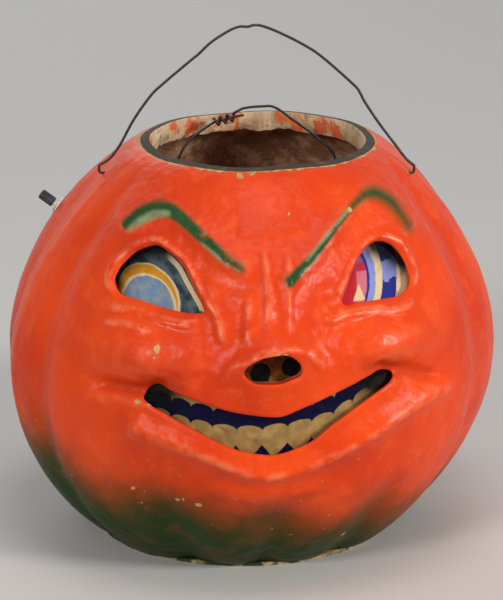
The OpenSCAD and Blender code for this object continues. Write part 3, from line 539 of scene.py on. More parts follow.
def per_point(mesh, name, values):
    full = np.zeros(len(mesh.vertices))
    full[:len(values)] = values
    mesh.attributes.new(name, "FLOAT", "POINT").data.foreach_set("value", full)


def brushed(line, halves, softs):
    d, along = line_dist(p_out, curve_through(line, 4))
    at = np.linspace(0, 1, len(halves))
    half, soft = np.interp(along, at, halves), np.interp(along, at, softs)
    return np.where(front, np.clip((half + soft - d) / (2 * soft), -2, 2), -2)


green = np.maximum(
    brushed(left_brow, (1.6, 2.3, 2.5, 2.7, 2.3, 2.2, 1.6), (0.9, 1.0, 1.1, 1.0, 1.1, 1.5, 2.2)),
    brushed(right_brow, (2.4, 1.7, 1.0, 1.3, 2.2, 2.0, 1.4), (1.1, 0.9, 0.8, 1.5, 2.2, 2.4, 2.6)))
# Painted highlight: a paler green band along the left side of the brow ridges
painted_brow_highlight = np.maximum.reduce([
    brushed([(-58, 151.6), (-52, 156), (-46, 159.2), (-41, 160.2)], (0.7, 1.2, 1.3, 0.9),
            (0.9,) * 4),
    brushed([(-28.5, 151.3), (-23, 147.4), (-18, 143.6)], (0.4, 0.6, 0.4), (0.9,) * 3),
    brushed([(14, 145.4), (24, 154.6), (32, 161)], (0.4, 0.7, 0.6), (0.7,) * 3)])
crest_step, crest_full = 2.0, 0.42
reach = np.degrees(crest_step / np.maximum(round_r(z_out), 30))
around = [relief(a_out + reach, z_out), relief(a_out - reach, z_out),
          relief(a_out, z_out + crest_step), relief(a_out, z_out - crest_step)]
crest = np.clip((shaped - np.mean(around, axis=0)) / crest_full, 0, 1)
# Painted shade under the cheeks at the corners of the smile and across the chin
painted_crease_shade = np.maximum.reduce([
    brushed([(-38, 95.5), (-46, 95.5), (-54, 93.5), (-68, 92)], (1, 2, 2.5, 0.5), (3, 4, 4, 4)),
    brushed([(40, 101), (47, 101.5), (54, 99.5), (72, 92)], (1, 2, 2.5, 0.5), (3, 4, 4, 4)),
    brushed([(-24, 46), (0, 43), (24, 47)], (1, 2, 1), (6, 6, 6))])
# Chips in the paint of the face, the foot and the rim: place across, height and size
chip_spots = [(-45.6, 111.8, 2.0), (-46.5, 108.3, 1.0), (1.5, 111.5, 1.6), (4.5, 111.8, 1.4),
              (33, 161, 1.5), (8, 161.5, 1.0), (-55.5, 87.2, 1.6), (-55.4, 45.5, 1.4),
              (-53, 41, 1.0), (-51.6, 38, 1.1), (-37, 42.5, 1.6), (-34.5, 43, 1.2), (-28, 41, 1.8),
              (-12, 174.5, 2.2), (-7, 175.5, 2.0), (13, 175.5, 1.2), (-50.8, 44.4, 1.0),
              (38, 17, 1.4), (29, 32.6, 1.0), (15, 43, 0.9)]
hole_chip, hinge_r = 1.7, 68


def chip(distance, size):
    return np.clip(1.1 - 0.75 * distance / size, 0, 1)


chips = np.zeros(len(p_out))
for u, z, size in chip_spots:
    chips = np.maximum(chips, front * chip(np.linalg.norm(p_out - (u, z), axis=1), size))
for a, z, size in wall_holes(round_r, 0)[:2]:
    d = np.hypot(wrapped(a_out - a) * math.pi / 180 * hinge_r, z_out - z)
    chips = np.maximum(chips, chip(d, hole_chip))
for name, values in (("green", green), ("painted_brow_highlight", painted_brow_highlight), ("painted_crease_shade", painted_crease_shade), ("chips", chips),
                     ("furrow", furrow), ("crest", np.maximum(crest, 0.4 * rib_line)),
                     ("edge", np.clip(1 - window_dist / 2.5, 0, 1)),
                     ("rim_out", ease((z_out - 174.2) / 1.8))):
    per_point(shell_mesh, name, values)

bpy.ops.object.select_all(action="DESELECT")
shell = bpy.data.objects.new("painted_shell", shell_mesh)
bpy.context.collection.objects.link(shell)


def edit(piece):
    bpy.ops.object.select_all(action="DESELECT")
    piece.select_set(True)
    bpy.context.view_layer.objects.active = piece
    bpy.ops.object.mode_set(mode="EDIT")
    bpy.ops.mesh.select_all(action="SELECT")


def finish_mesh(piece, angle):
    edit(piece)
    bpy.ops.mesh.remove_doubles(threshold=0.00002)
    bpy.ops.mesh.normals_make_consistent(inside=False)
    bpy.ops.object.mode_set(mode="OBJECT")
    bpy.ops.object.shade_smooth_by_angle(angle=math.radians(angle))


finish_mesh(shell, 50)


def mix(tree, share, a, b, blend="MIX"):
    made = tree.nodes.new("ShaderNodeMix")
    made.data_type = "RGBA"
    made.blend_type = blend
    for socket, value in ((made.inputs[0], share), (made.inputs[6], a), (made.inputs[7], b)):
        if isinstance(value, bpy.types.NodeSocket):
            tree.links.new(value, socket)
        else:
            socket.default_value = (*value, 1) if isinstance(value, tuple) else value
    return made.outputs[2]


def maths(tree, operation, *values):
    return add(tree, "ShaderNodeMath", *values, operation=operation).outputs[0]


def between(tree, value, low, high):
    return add(tree, "ShaderNodeMapRange", value, low, high, 0.0, 1.0,
               interpolation_type="SMOOTHSTEP").outputs[0]


def cloud(tree, where, size, detail=3.0, rough=0.55):
    made = add(tree, "ShaderNodeTexNoise", where)
    made.inputs["Scale"].default_value = 1 / size
    made.inputs["Detail"].default_value = detail
    made.inputs["Roughness"].default_value = rough
    return made.outputs[0]


def painted(tree, name):
    return add(tree, "ShaderNodeAttribute", attribute_name=name).outputs["Fac"]


def bump(tree, shader, height, depth):
    made = add(tree, "ShaderNodeBump", 1.0)
    made.inputs["Distance"].default_value = depth
    tree.links.new(height, made.inputs["Height"])
    tree.links.new(made.outputs[0], shader.inputs["Normal"])


# Orange paint, airbrushed green, and bare pulp where it has chipped
bare_pulp = (0.56, 0.34, 0.14)
orange_paint, tree, shader = new_material("orange_paint", roughness=0.4)
spot = add(tree, "ShaderNodeTexCoord").outputs["Object"]
place = add(tree, "ShaderNodeSeparateXYZ", spot).outputs
patches, mottle = cloud(tree, spot, 0.045), cloud(tree, spot, 0.009, 4)
grain = cloud(tree, spot, 0.0012, 2)
colour = mix(tree, between(tree, patches, 0.35, 0.7), (0.64, 0.039, 0.003), (0.79, 0.063, 0.004))
share = maths(tree, "MULTIPLY", between(tree, mottle, 0.52, 0.75), 0.5)
colour = mix(tree, share, colour, (0.85, 0.102, 0.015))
share = maths(tree, "MULTIPLY", between(tree, grain, 0.6, 0.8), 0.25)
colour = mix(tree, share, colour, (0.42, 0.022, 0.004))
# Painted shade: the orange darkens to deep red in the creases
share = maths(tree, "MULTIPLY", between(tree, painted(tree, "painted_crease_shade"), 0.0, 1.0), 0.6)
colour = mix(tree, share, colour, (0.26, 0.012, 0.003))
# Worn paint and painted highlight: the tops of the ridges turn pale peach in patches
ridge_wear_and_painted_highlight = maths(tree, "MULTIPLY", painted(tree, "crest"),
               between(tree, cloud(tree, spot, 0.007, 3), 0.34, 0.62))
colour = mix(tree, maths(tree, "MULTIPLY", ridge_wear_and_painted_highlight, 0.42), colour, (0.90, 0.25, 0.105))
tilt = maths(tree, "MULTIPLY_ADD", place[0], 0.10, place[2])
tilt = maths(tree, "MULTIPLY_ADD", maths(tree, "MINIMUM", place[0], 0.0), 0.11, tilt)
tilt = maths(tree, "MULTIPLY_ADD", maths(tree, "SUBTRACT", patches, 0.5), 0.035, tilt)
tilt = maths(tree, "MULTIPLY_ADD", painted(tree, "furrow"), -0.006, tilt)
colour = mix(tree, between(tree, tilt, 0.056, 0.020), colour, (0.22, 0.055, 0.009))
foot = mix(tree, between(tree, mottle, 0.45, 0.65), (0.022, 0.046, 0.010), (0.068, 0.052, 0.012))
colour = mix(tree, between(tree, tilt, 0.046, 0.010), colour, foot)
share = maths(tree, "MULTIPLY", between(tree, painted(tree, "green"), 0.0, 1.0),
              between(tree, mottle, 0.06, 0.42))
colour = mix(tree, share, colour, (0.011, 0.054, 0.007))
# Painted highlight on the brows: the green turns paler along the band
share = maths(tree, "MULTIPLY", between(tree, painted(tree, "painted_brow_highlight"), 0.0, 1.0),
              between(tree, mottle, 0.25, 0.6))
colour = mix(tree, share, colour, (0.24, 0.30, 0.15))
foot_band = maths(tree, "MULTIPLY", between(tree, tilt, 0.014, 0.030),
                  between(tree, tilt, 0.072, 0.050))
flecks = maths(tree, "MULTIPLY", between(tree, cloud(tree, spot, 0.0030, 5, 0.7), 0.635, 0.70),
               foot_band)
ragged = maths(tree, "MULTIPLY_ADD", maths(tree, "SUBTRACT", cloud(tree, spot, 0.002), 0.5), 1.1,
               painted(tree, "chips"))
bare = maths(tree, "MAXIMUM", flecks, between(tree, ragged, 0.50, 0.62))
worn = maths(tree, "MAXIMUM", maths(tree, "MULTIPLY", painted(tree, "edge"), 0.62),
             painted(tree, "rim_out"))
worn = maths(tree, "MULTIPLY_ADD", maths(tree, "SUBTRACT", cloud(tree, spot, 0.004, 4), 0.5), 1.6,
             worn)
bare = maths(tree, "MAXIMUM", bare, between(tree, worn, 0.86, 0.96))
colour = mix(tree, bare, colour, bare_pulp)
tree.links.new(colour, shader.inputs["Base Color"])
gloss = maths(tree, "MULTIPLY_ADD", mottle, 0.32, 0.20)
gloss = maths(tree, "MAXIMUM", gloss, maths(tree, "MULTIPLY", bare, 0.8))
tree.links.new(gloss, shader.inputs["Roughness"])
sheen = maths(tree, "MULTIPLY_ADD", between(tree, tilt, 0.025, 0.055), 0.13, 0.06)
sheen = maths(tree, "MULTIPLY_ADD", ridge_wear_and_painted_highlight, 0.20, sheen)
shader.inputs["Specular IOR Level"].default_value = 0.18
tree.links.new(sheen, shader.inputs["Specular IOR Level"])
lumps = maths(tree, "MULTIPLY_ADD", cloud(tree, spot, 0.0042, 1), 0.42,
              cloud(tree, spot, 0.010, 1))
lumps = maths(tree, "MULTIPLY_ADD", grain, 0.05, lumps)
bump(tree, shader, maths(tree, "MULTIPLY_ADD", bare, -0.2, lumps), 0.0010)

# Cut edge of the rim, once painted dark and now worn
rim_paint, tree, shader = new_material("rim_paint", roughness=0.75)
spot = add(tree, "ShaderNodeTexCoord").outputs["Object"]
worn = between(tree, cloud(tree, spot, 0.006, 4), 0.52, 0.72)
colour = mix(tree, worn, (0.045, 0.037, 0.028), (0.11, 0.078, 0.055))
lip = maths(tree, "MULTIPLY_ADD", cloud(tree, spot, 0.004, 4), 0.3, painted(tree, "rim_out"))
colour = mix(tree, between(tree, lip, 1.02, 1.10), colour, bare_pulp)
tree.links.new(colour, shader.inputs["Base Color"])
shader.inputs["Specular IOR Level"].default_value = 0.2
bump(tree, shader, cloud(tree, spot, 0.002, 4), 0.0004)

# Bare pulp inside: cream around the neck, browned by age and smoke below
inside_pulp, tree, shader = new_material("inside_pulp", roughness=0.85)
spot = add(tree, "ShaderNodeTexCoord").outputs["Object"]
place = add(tree, "ShaderNodeSeparateXYZ", spot).outputs
smear = add(tree, "ShaderNodeMapping", spot)
smear.inputs["Scale"].default_value = (1, 1, 0.3)
streak = cloud(tree, smear.outputs[0], 0.012, 5, 0.65)
blot = cloud(tree, spot, 0.016, 4)
colour = mix(tree, between(tree, streak, 0.42, 0.62), (0.36, 0.165, 0.088), (0.76, 0.43, 0.25))
cream = mix(tree, between(tree, streak, 0.3, 0.65), (0.76, 0.60, 0.40), (0.46, 0.29, 0.16))
smudge = maths(tree, "MULTIPLY", between(tree, cloud(tree, spot, 0.009, 5, 0.7), 0.52, 0.66), 0.7)
cream = mix(tree, smudge, cream, (0.19, 0.115, 0.065))
broken = maths(tree, "MULTIPLY_ADD", cloud(tree, spot, 0.0035, 4), 0.45, blot)
cream = mix(tree, between(tree, broken, 0.77, 0.87), cream, (0.66, 0.12, 0.03))
ragged = maths(tree, "MULTIPLY_ADD", maths(tree, "SUBTRACT", blot, 0.5), 0.010, place[2])
colour = mix(tree, between(tree, ragged, 0.1655, 0.1675), colour, cream)
tree.links.new(colour, shader.inputs["Base Color"])
bump(tree, shader, streak, 0.0026)

for material in (orange_paint, rim_paint, inside_pulp):
    shell_mesh.materials.append(material)
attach(shell, "pail")
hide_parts("pumpkin_shell")

# Base disc
# Thick card punched out a little larger than the shell's foot and glued under it. Its raw edge
# shows all round as a pale line, swollen and frayed by damp.
disc_r, edge_w = base_r + 0.5, 2
disc_section = [(0, 0), (40, 0), (disc_r - 0.3, 0), (disc_r, 0.25), (disc_r, 0.8), (disc_r, 1.3),
                (disc_r - 0.4, disc_t), (40, disc_t), (0, disc_t)]


def turned(name, profile, steps, place=Matrix(), closed=False, angle=35):
    mesh = bpy.data.meshes.new(name)
    links = [(i, i + 1) for i in range(len(profile) - 1)]
    if closed:
        links.append((len(profile) - 1, 0))
    mesh.from_pydata([(r * MM, 0, z * MM) for r, z in profile], links, [])
    piece = bpy.data.objects.new(name, mesh)
    bpy.context.collection.objects.link(piece)
    edit(piece)
    bpy.ops.mesh.spin(steps=steps, angle=2 * math.pi, center=(0, 0, 0), axis=(0, 0, 1))
    bpy.ops.object.mode_set(mode="OBJECT")
    finish_mesh(piece, angle)
    mesh.transform(place)
    return piece


def reshape(piece, rule):
    mesh = piece.data
    flat = np.zeros(len(mesh.vertices) * 3)
    mesh.vertices.foreach_get("co", flat)
    mesh.vertices.foreach_set("co", (rule(flat.reshape(-1, 3) / MM) * MM).ravel())
    mesh.update()


def frayed(p):
    out = np.hypot(p[:, 0], p[:, 1])
    turn = np.arctan2(p[:, 1], p[:, 0])
    wave = (0.25 * np.sin(5 * turn + 1) + 0.15 * np.sin(13 * turn)
            + 0.12 * np.sin(31 * turn + 2) - 0.2)
    share = 1 + np.where(out > disc_r - edge_w, wave, 0) / np.maximum(out, 1)
    return np.stack([p[:, 0] * share, p[:, 1] * share, p[:, 2]], axis=1)


card_disc = turned("card_disc", disc_section, 180)
reshape(card_disc, frayed)
card_disc.data.transform(Matrix.Translation((lean_at(0) * MM, 0, 0)))
raw_card, tree, shader = new_material("frayed_card", roughness=0.9)
spot = add(tree, "ShaderNodeTexCoord").outputs["Object"]
fibre = cloud(tree, spot, 0.0025, 5, 0.7)
colour = mix(tree, between(tree, fibre, 0.35, 0.65), (0.30, 0.21, 0.11), (0.60, 0.48, 0.29))
colour = mix(tree, between(tree, cloud(tree, spot, 0.02), 0.5, 0.75), colour, (0.17, 0.12, 0.06))
place = add(tree, "ShaderNodeSeparateXYZ", spot).outputs
side = maths(tree, "SUBTRACT", place[0], lean_at(0) * MM)
out = maths(tree, "MULTIPLY_ADD", side, side, maths(tree, "MULTIPLY", place[1], place[1]))
out = maths(tree, "SQRT", out)
overspray = maths(tree, "MULTIPLY", between(tree, cloud(tree, spot, 0.009, 4), 0.58, 0.46),
                  between(tree, place[2], 0.0001, 0.0004))
overspray = maths(tree, "MULTIPLY", overspray,
                  between(tree, out, (disc_r - 3) * MM, (disc_r - 2.5) * MM))
colour = mix(tree, overspray, colour, (0.026, 0.044, 0.012))
tree.links.new(colour, shader.inputs["Base Color"])
bump(tree, shader, fibre, 0.0005)
card_disc.data.materials.append(raw_card)
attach(card_disc, "pail")
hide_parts("base_disc")

# Printed papers behind the windows
# Four pieces of thin printed paper pasted inside the shell, one behind each window. Lamp light
# once shone through them; they have yellowed and crinkled.
glue_gap, paper_t = 0.3, 0.6
eye_edges = (122.5, 0), (152.5, 0)


def inner_spot(a, z, deeper):
    n_out, n_up = normal_at(z)
    r = round_r(z) - (wall + deeper) * n_out - 0.5 * groove_depth * groove(a, z)
    return on_body(a, z - (wall + deeper) * n_up, r), r * np.sin(np.radians(a))


def angle_of(x, z):
    return math.degrees(math.asin(x / float(round_r(z) - wall * normal_at(z)[0])))


def window_paper(name, ring, x_from, x_to, level, low, high, cols, rows, shadows, printed, node):
    bpy.ops.object.select_all(action="DESELECT")
    bpy.ops.mesh.primitive_grid_add(x_subdivisions=cols, y_subdivisions=rows, size=2)
    paper = bpy.context.object
    paper.name = name
    flat = np.zeros(len(paper.data.vertices) * 3)
    paper.data.vertices.foreach_get("co", flat)
    s, t = flat[0::3], (flat[1::3] + 1) / 2
    a_from, a_to = angle_of(x_from, level), angle_of(x_to, level)
    a = a_from + (a_to - a_from) * (s + 1) / 2
    foot, top = low[0] + low[1] * s * s, high[0] + high[1] * s * s
    z = foot + (top - foot) * t
    xyz, u = inner_spot(a, z, glue_gap)
    seen = np.stack([u, xyz[:, 2]], axis=1)
    cut = np.vstack([ring, ring[:1]])
    free = inside(seen, ring) * np.clip(line_dist(seen, cut)[0] / 4, 0, 1)
    crinkle = np.array([noise.noise(Vector((p[0] / 9, p[1] / 9, 5)))
                        + 0.5 * noise.noise(Vector((p[0] / 4, p[1] / 4, 8))) for p in seen])
    xyz, u = inner_spot(a, z, glue_gap + free * (0.5 + 0.9 * crinkle))
    paper.data.vertices.foreach_set("co", (xyz * MM).ravel())
    place = paper.data.attributes.new("print_mm", "FLOAT_VECTOR", "POINT")
    place.data.foreach_set("vector", np.stack([u, xyz[:, 2], 0 * u], axis=1).ravel())
    # Painted shadow: the paper darkens along the given lines, under the upper edges of the windows
    # and in the corners of the mouth
    painted_shadow = np.max([ridge(seen, line, reach, 1.0) for line, reach in shadows], axis=0)
    per_point(paper.data, "painted_shadow", np.clip(1.35 * painted_shadow, 0, 1))
    per_point(paper.data, "cut_side", line_dist(seen, cut - (0, 1.7))[0])
    paper.data.materials.append(printed)
    paper.data.materials.append(paper_back)
    sheet = paper.modifiers.new("thickness", "SOLIDIFY")
    sheet.thickness, sheet.offset = paper_t * MM, -1
    sheet.material_offset = sheet.material_offset_rim = 1
    bpy.ops.object.modifier_apply(modifier=sheet.name)
    bpy.ops.object.shade_smooth_by_angle(angle=math.radians(40))
    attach(paper, "pail")
    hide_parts(node)


def two_tone(name, size, detail, first, second, edges=None, gloss=None, depth=None, rough=0.55,
             **finish):
    material, tree, shader = new_material(name, **finish)
    spot = add(tree, "ShaderNodeTexCoord").outputs["Object"]
    pattern = cloud(tree, spot, size, detail, rough)
    share = between(tree, pattern, *edges) if edges else pattern
    tree.links.new(mix(tree, share, first, second), shader.inputs["Base Color"])
    if gloss:
        tree.links.new(maths(tree, "MULTIPLY_ADD", pattern, *gloss), shader.inputs["Roughness"])
    if depth:
        bump(tree, shader, pattern, depth)
    return material


paper_back = two_tone("paper_back", 0.006, 4, (0.36, 0.26, 0.14), (0.55, 0.43, 0.26),
                      edges=(0.35, 0.7), roughness=0.9)


def print_base(name):
    material, tree, shader = new_material(name, roughness=0.7)
    shader.inputs["Specular IOR Level"].default_value = 0.1
    at = add(tree, "ShaderNodeAttribute", attribute_name="print_mm").outputs["Vector"]
    shift = add(tree, "ShaderNodeTexNoise", at)
    shift.inputs["Scale"].default_value = 0.35
    where = shift.outputs["Color"]
    for operation, values in (("SUBTRACT", (0.5, 0.5, 0.5)), ("MULTIPLY", (0.9, 0.9, 0)),
                              ("ADD", at)):
        made = add(tree, "ShaderNodeVectorMath", where, values, operation=operation)
        where = made.outputs[0]
    crease = add(tree, "ShaderNodeTexNoise", at)
    crease.inputs["Scale"].default_value = 0.09
    crease.inputs["Detail"].default_value = 1.0
    crumple = maths(tree, "ABSOLUTE", maths(tree, "SUBTRACT", crease.outputs[0], 0.5))
    bump(tree, shader, between(tree, crumple, 0.0, 0.12), 0.0003)
    return material, tree, shader, where


def disc(tree, where, centre, radius, soft=0.25):
    d = add(tree, "ShaderNodeVectorMath", where, (*centre, 0), operation="DISTANCE")
    return between(tree, d.outputs["Value"], radius + soft, radius - soft)


# Mixes the print towards black where the paper carries painted shadow
def add_painted_shadow(tree, shader, colour):
    painted_shadow = maths(tree, "MULTIPLY", painted(tree, "painted_shadow"), 0.97)
    colour = mix(tree, painted_shadow, colour, (0.002, 0.002, 0.002))
    tree.links.new(colour, shader.inputs["Base Color"])


# Left eye: rings of blue grey, yellow and cream on slate
blue_grey, cream_print = (0.15, 0.24, 0.36), (0.66, 0.54, 0.32)
yellow_print = (0.58, 0.26, 0.013)
left_print, tree, shader, where = print_base("left_eye_print")
outer_ring = (-50.7, 125.2)
slate = mix(tree, between(tree, cloud(tree, where, 6.0, 3), 0.40, 0.60), (0.020, 0.042, 0.052),
            (0.095, 0.135, 0.165))
colour = mix(tree, disc(tree, where, outer_ring, 22.9), (0.05, 0.08, 0.20), cream_print)
colour = mix(tree, disc(tree, where, outer_ring, 22.0), colour, slate)
colour = mix(tree, disc(tree, where, (-50.8, 126.1), 13.2), colour, cream_print)
colour = mix(tree, disc(tree, where, (-51.1, 126.4), 12.3), colour, yellow_print)
colour = mix(tree, disc(tree, where, (-50.6, 124.4), 11.4), colour, cream_print)
faded = mix(tree, between(tree, cloud(tree, where, 4.0, 3), 0.4, 0.65), blue_grey,
            (0.24, 0.29, 0.33))
colour = mix(tree, disc(tree, where, (-50.6, 124.8), 10.2), colour, faded)
place = add(tree, "ShaderNodeSeparateXYZ", where).outputs
margin = maths(tree, "MULTIPLY", between(tree, painted(tree, "cut_side"), 1.15, 0.85),
               between(tree, place[0], -44.0, -41.0))
margin = maths(tree, "MULTIPLY", margin, between(tree, place[1], 124.4, 124.9))
colour = mix(tree, margin, colour, cream_print)
add_painted_shadow(tree, shader, colour)

# Right eye: blue and cream rings round a rose middle with a cream wedge
right_print, tree, shader, where = print_base("right_eye_print")
light_blue, dark_blue = (0.22, 0.26, 0.58), (0.02, 0.026, 0.22)
rings = (24.5, 133.0)
place = add(tree, "ShaderNodeSeparateXYZ", where).outputs
high = maths(tree, "SUBTRACT", cloud(tree, where, 3.0, 2), 0.5)
high = maths(tree, "MULTIPLY_ADD", high, 6.0, place[1])
blots = maths(tree, "MULTIPLY", between(tree, high, 131.0, 131.6),
              between(tree, high, 139.6, 139.0))
colour = mix(tree, disc(tree, where, rings, 31.0), cream_print,
             mix(tree, blots, dark_blue, light_blue))
colour = mix(tree, disc(tree, where, rings, 24.3), colour, cream_print)
colour = mix(tree, disc(tree, where, rings, 21.2), colour, light_blue)
colour = mix(tree, disc(tree, where, rings, 18.4), colour, dark_blue)
rose = mix(tree, between(tree, place[0], 36.6, 37.4), (0.50, 0.020, 0.035), (0.57, 0.15, 0.21))
rose = mix(tree, between(tree, high, 136.6, 137.2), rose, (0.45, 0.025, 0.060))
rose = mix(tree, between(tree, high, 139.2, 140.2), rose, (0.26, 0.09, 0.28))
colour = mix(tree, disc(tree, where, rings, 17.3), colour, rose)
from_tip = maths(tree, "SUBTRACT", 132.4, place[1])
half = maths(tree, "MULTIPLY", from_tip, 0.45)
off = maths(tree, "ABSOLUTE", maths(tree, "SUBTRACT", place[0], 37.9))
wedge = maths(tree, "MULTIPLY", between(tree, maths(tree, "SUBTRACT", half, off), -0.1, 0.25),
              between(tree, from_tip, 6.4, 5.9))
colour = mix(tree, wedge, colour, cream_print)
add_painted_shadow(tree, shader, colour)

# Nose: two dark nostrils on amber, the amber darkened as painted shade inside the window
nose_print, tree, shader, where = print_base("nose_print")
colour = mix(tree, between(tree, cloud(tree, where, 4.0), 0.35, 0.7), (0.085, 0.028, 0.004),
             (0.18, 0.070, 0.007))
colour = mix(tree, disc(tree, where, (-4.4, 100.7), 4.3), colour, (0.001, 0.001, 0.001))
colour = mix(tree, disc(tree, where, (8.4, 103.2), 3.9), colour, (0.001, 0.001, 0.001))
add_painted_shadow(tree, shader, colour)

# Mouth: two bowed rows of round ivory teeth on dark blue, wider in the middle
tooth_w, tooth_arch, lower_h, upper_z = 10.9, 2.6, 6.6, 7.3
teeth_print, tree, shader, where = print_base("teeth_print")
place = add(tree, "ShaderNodeSeparateXYZ", where).outputs
bow = maths(tree, "MULTIPLY_ADD", place[0], 0.0040, 0.064)
bow = maths(tree, "MULTIPLY_ADD", bow, place[0], 76.2)
upturn = maths(tree, "MAXIMUM", maths(tree, "SUBTRACT", place[0], 26.0), 0.0)
bow = maths(tree, "MULTIPLY_ADD", upturn, 0.22, bow)
across = maths(tree, "ADD", place[0], 2.7)
widen = maths(tree, "MULTIPLY_ADD", maths(tree, "MULTIPLY", across, across), 9e-6, 1 / tooth_w)
step = maths(tree, "FRACT", maths(tree, "MULTIPLY", across, widen))
half = maths(tree, "MULTIPLY_ADD", step, 2.0, -1.0)
arch = maths(tree, "SQRT", maths(tree, "SUBTRACT", 1.0, maths(tree, "MULTIPLY", half, half)))
level = maths(tree, "SUBTRACT", place[1], bow)
lower_top = maths(tree, "MULTIPLY_ADD", arch, tooth_arch, maths(tree, "MULTIPLY", level, -1.0))
gap = maths(tree, "MULTIPLY", maths(tree, "SUBTRACT", 1.0, maths(tree, "ABSOLUTE", half)), 6.5)
lower_foot = maths(tree, "ADD", maths(tree, "ADD", level, lower_h), gap)
upper = maths(tree, "MULTIPLY_ADD", arch, -tooth_arch, maths(tree, "SUBTRACT", level, upper_z))
lower_top, lower_foot, upper = (between(tree, line, -0.2, 0.2)
                                for line in (lower_top, lower_foot, upper))
teeth = maths(tree, "MAXIMUM", maths(tree, "MULTIPLY", lower_top, lower_foot), upper)
ivory = mix(tree, between(tree, cloud(tree, where, 6.0, 4), 0.35, 0.7), (0.27, 0.175, 0.062),
            (0.40, 0.265, 0.090))
colour = mix(tree, teeth, (0.003, 0.003, 0.030), ivory)
add_painted_shadow(tree, shader, colour)

# Each paper gets lines along which painted shadow darkens it, with how far the shadow reaches
window_paper("left_eye_paper", windows[0], -70, -24, left_eye[1], *eye_edges, 92, 64,
             [([(-65.5, 130), (-64.5, 136), (-58, 143), (-48, 147.5), (-44, 147.5)], 5.2)],
             left_print, "left_eye_insert")
window_paper("right_eye_paper", windows[1], 24, 64, right_eye[1], *eye_edges, 42, 32,
             [([(46, 146.5), (52, 142.8), (59, 138.0)], 5.4)], right_print, "right_eye_insert")
window_paper("nose_paper", windows[2], -16.75, 16.75, nose[1], (94.65, 0), (116.65, 0), 34, 24,
             [([(-11, 106), (-6, 110), (2, 111.5), (8, 110.5)], 1.2)], nose_print, "nose_insert")
window_paper("mouth_paper", windows[3], -57.5, 57.5, 88.7, (62, 15.5), (90.6, 12.4), 90, 26,
             [([(-53, 93.7), (-46, 93)], 9.5), ([(52.5, 97), (46, 95)], 9)],
             teeth_print, "mouth_insert")

# Bail wire
# The carrying handle: one length of black iron wire bent by hand, its ends pushed through two
# holes in the shoulders and turned down inside.
wire_r, bail_rise, hook_l, bend_r, stand_off, hook_in = 0.6, 66.0, 7.0, 1.2, 1.6, 5.0
hinge_out = float(round_r(hinge_z))
hinge_in = hinge_out - wall / float(normal_at(hinge_z)[0])
bail_half = math.sqrt(hinge_out ** 2 - bail_fwd ** 2) + stand_off
bail_in = math.sqrt(hinge_in ** 2 - bail_fwd ** 2) - hook_in
# Hand bends of the bail, in shares of its half width and its rise
bail_bends = [(-1, 0.05), (-0.93, 0.1), (-0.862, 0.196), (-0.778, 0.359), (-0.669, 0.522),
              (-0.59, 0.603), (-0.412, 0.765), (-0.365, 0.806), (-0.286, 0.886), (-0.18, 0.96),
              (-0.11, 0.99), (-0.054, 0.99), (-0.016, 1), (0.04, 0.992), (0.147, 0.946),
              (0.297, 0.866), (0.417, 0.782), (0.61, 0.603), (0.652, 0.546), (0.684, 0.482),
              (0.774, 0.339), (0.876, 0.196), (0.95, 0.095), (1, 0.05)]


def corner(at, into, out, r):
    at, into, out = np.array(at, float), np.array(into), np.array(out)
    return np.array([at - r * into + r * (np.sin(k) * into + (1 - np.cos(k)) * out)
                     for k in np.linspace(0, np.pi / 2, 6)])


def bent_wire(name, paths, radius, place, sides=3):
    made = bpy.data.curves.new(name, "CURVE")
    made.dimensions = "3D"
    made.bevel_depth, made.bevel_resolution, made.use_fill_caps = radius * MM, sides, True
    for path in paths:
        line = made.splines.new("POLY")
        line.points.add(len(path) - 1)
        line.points.foreach_set("co", np.hstack([path * MM, np.ones((len(path), 1))]).ravel())
    wire = bpy.data.objects.new(name, made)
    bpy.context.collection.objects.link(wire)
    bpy.ops.object.select_all(action="DESELECT")
    wire.select_set(True)
    bpy.context.view_layer.objects.active = wire
    bpy.ops.object.convert(target="MESH")
    wire = bpy.context.object
    wire.data.transform(place)
    finish_mesh(wire, 50)
    return wire


def in_plane(flat, sway=0.0):
    return np.stack([flat[:, 0], sway * np.ones(len(flat)), flat[:, 1]], axis=1)


arch = curve_through(bail_bends, 6) * (bail_half, bail_rise)
half_end = np.vstack([[(bail_in, -hook_l)], corner((bail_in, 0), (0, 1), (1, 0), bend_r),
                      corner((bail_half, 0), (1, 0), (0, 1), bend_r)])
path = in_plane(np.vstack([half_end * (-1, 1), arch, half_end[::-1]]))
path[:, 1] += 0.5 * np.sin(path[:, 0] / 9) * ease((path[:, 2] - 14) / 20)
bail = bent_wire("bail_handle", [path], wire_r,
                 Matrix.Translation(Vector((lean_at(hinge_z), -bail_fwd, hinge_z)) * MM))
black_wire, tree, shader = new_material("iron_wire", metallic=0.35)
spot = add(tree, "ShaderNodeTexCoord").outputs["Object"]
worn = cloud(tree, spot, 0.004, 4)
colour = mix(tree, between(tree, worn, 0.55, 0.75), (0.022, 0.022, 0.024), (0.095, 0.075, 0.060))
tree.links.new(colour, shader.inputs["Base Color"])
tree.links.new(maths(tree, "MULTIPLY_ADD", worn, 0.4, 0.25), shader.inputs["Roughness"])
bump(tree, shader, cloud(tree, spot, 0.0007, 3), 0.0001)
bail.data.materials.append(black_wire)
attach(bail, "bail")
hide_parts("bail_wire")

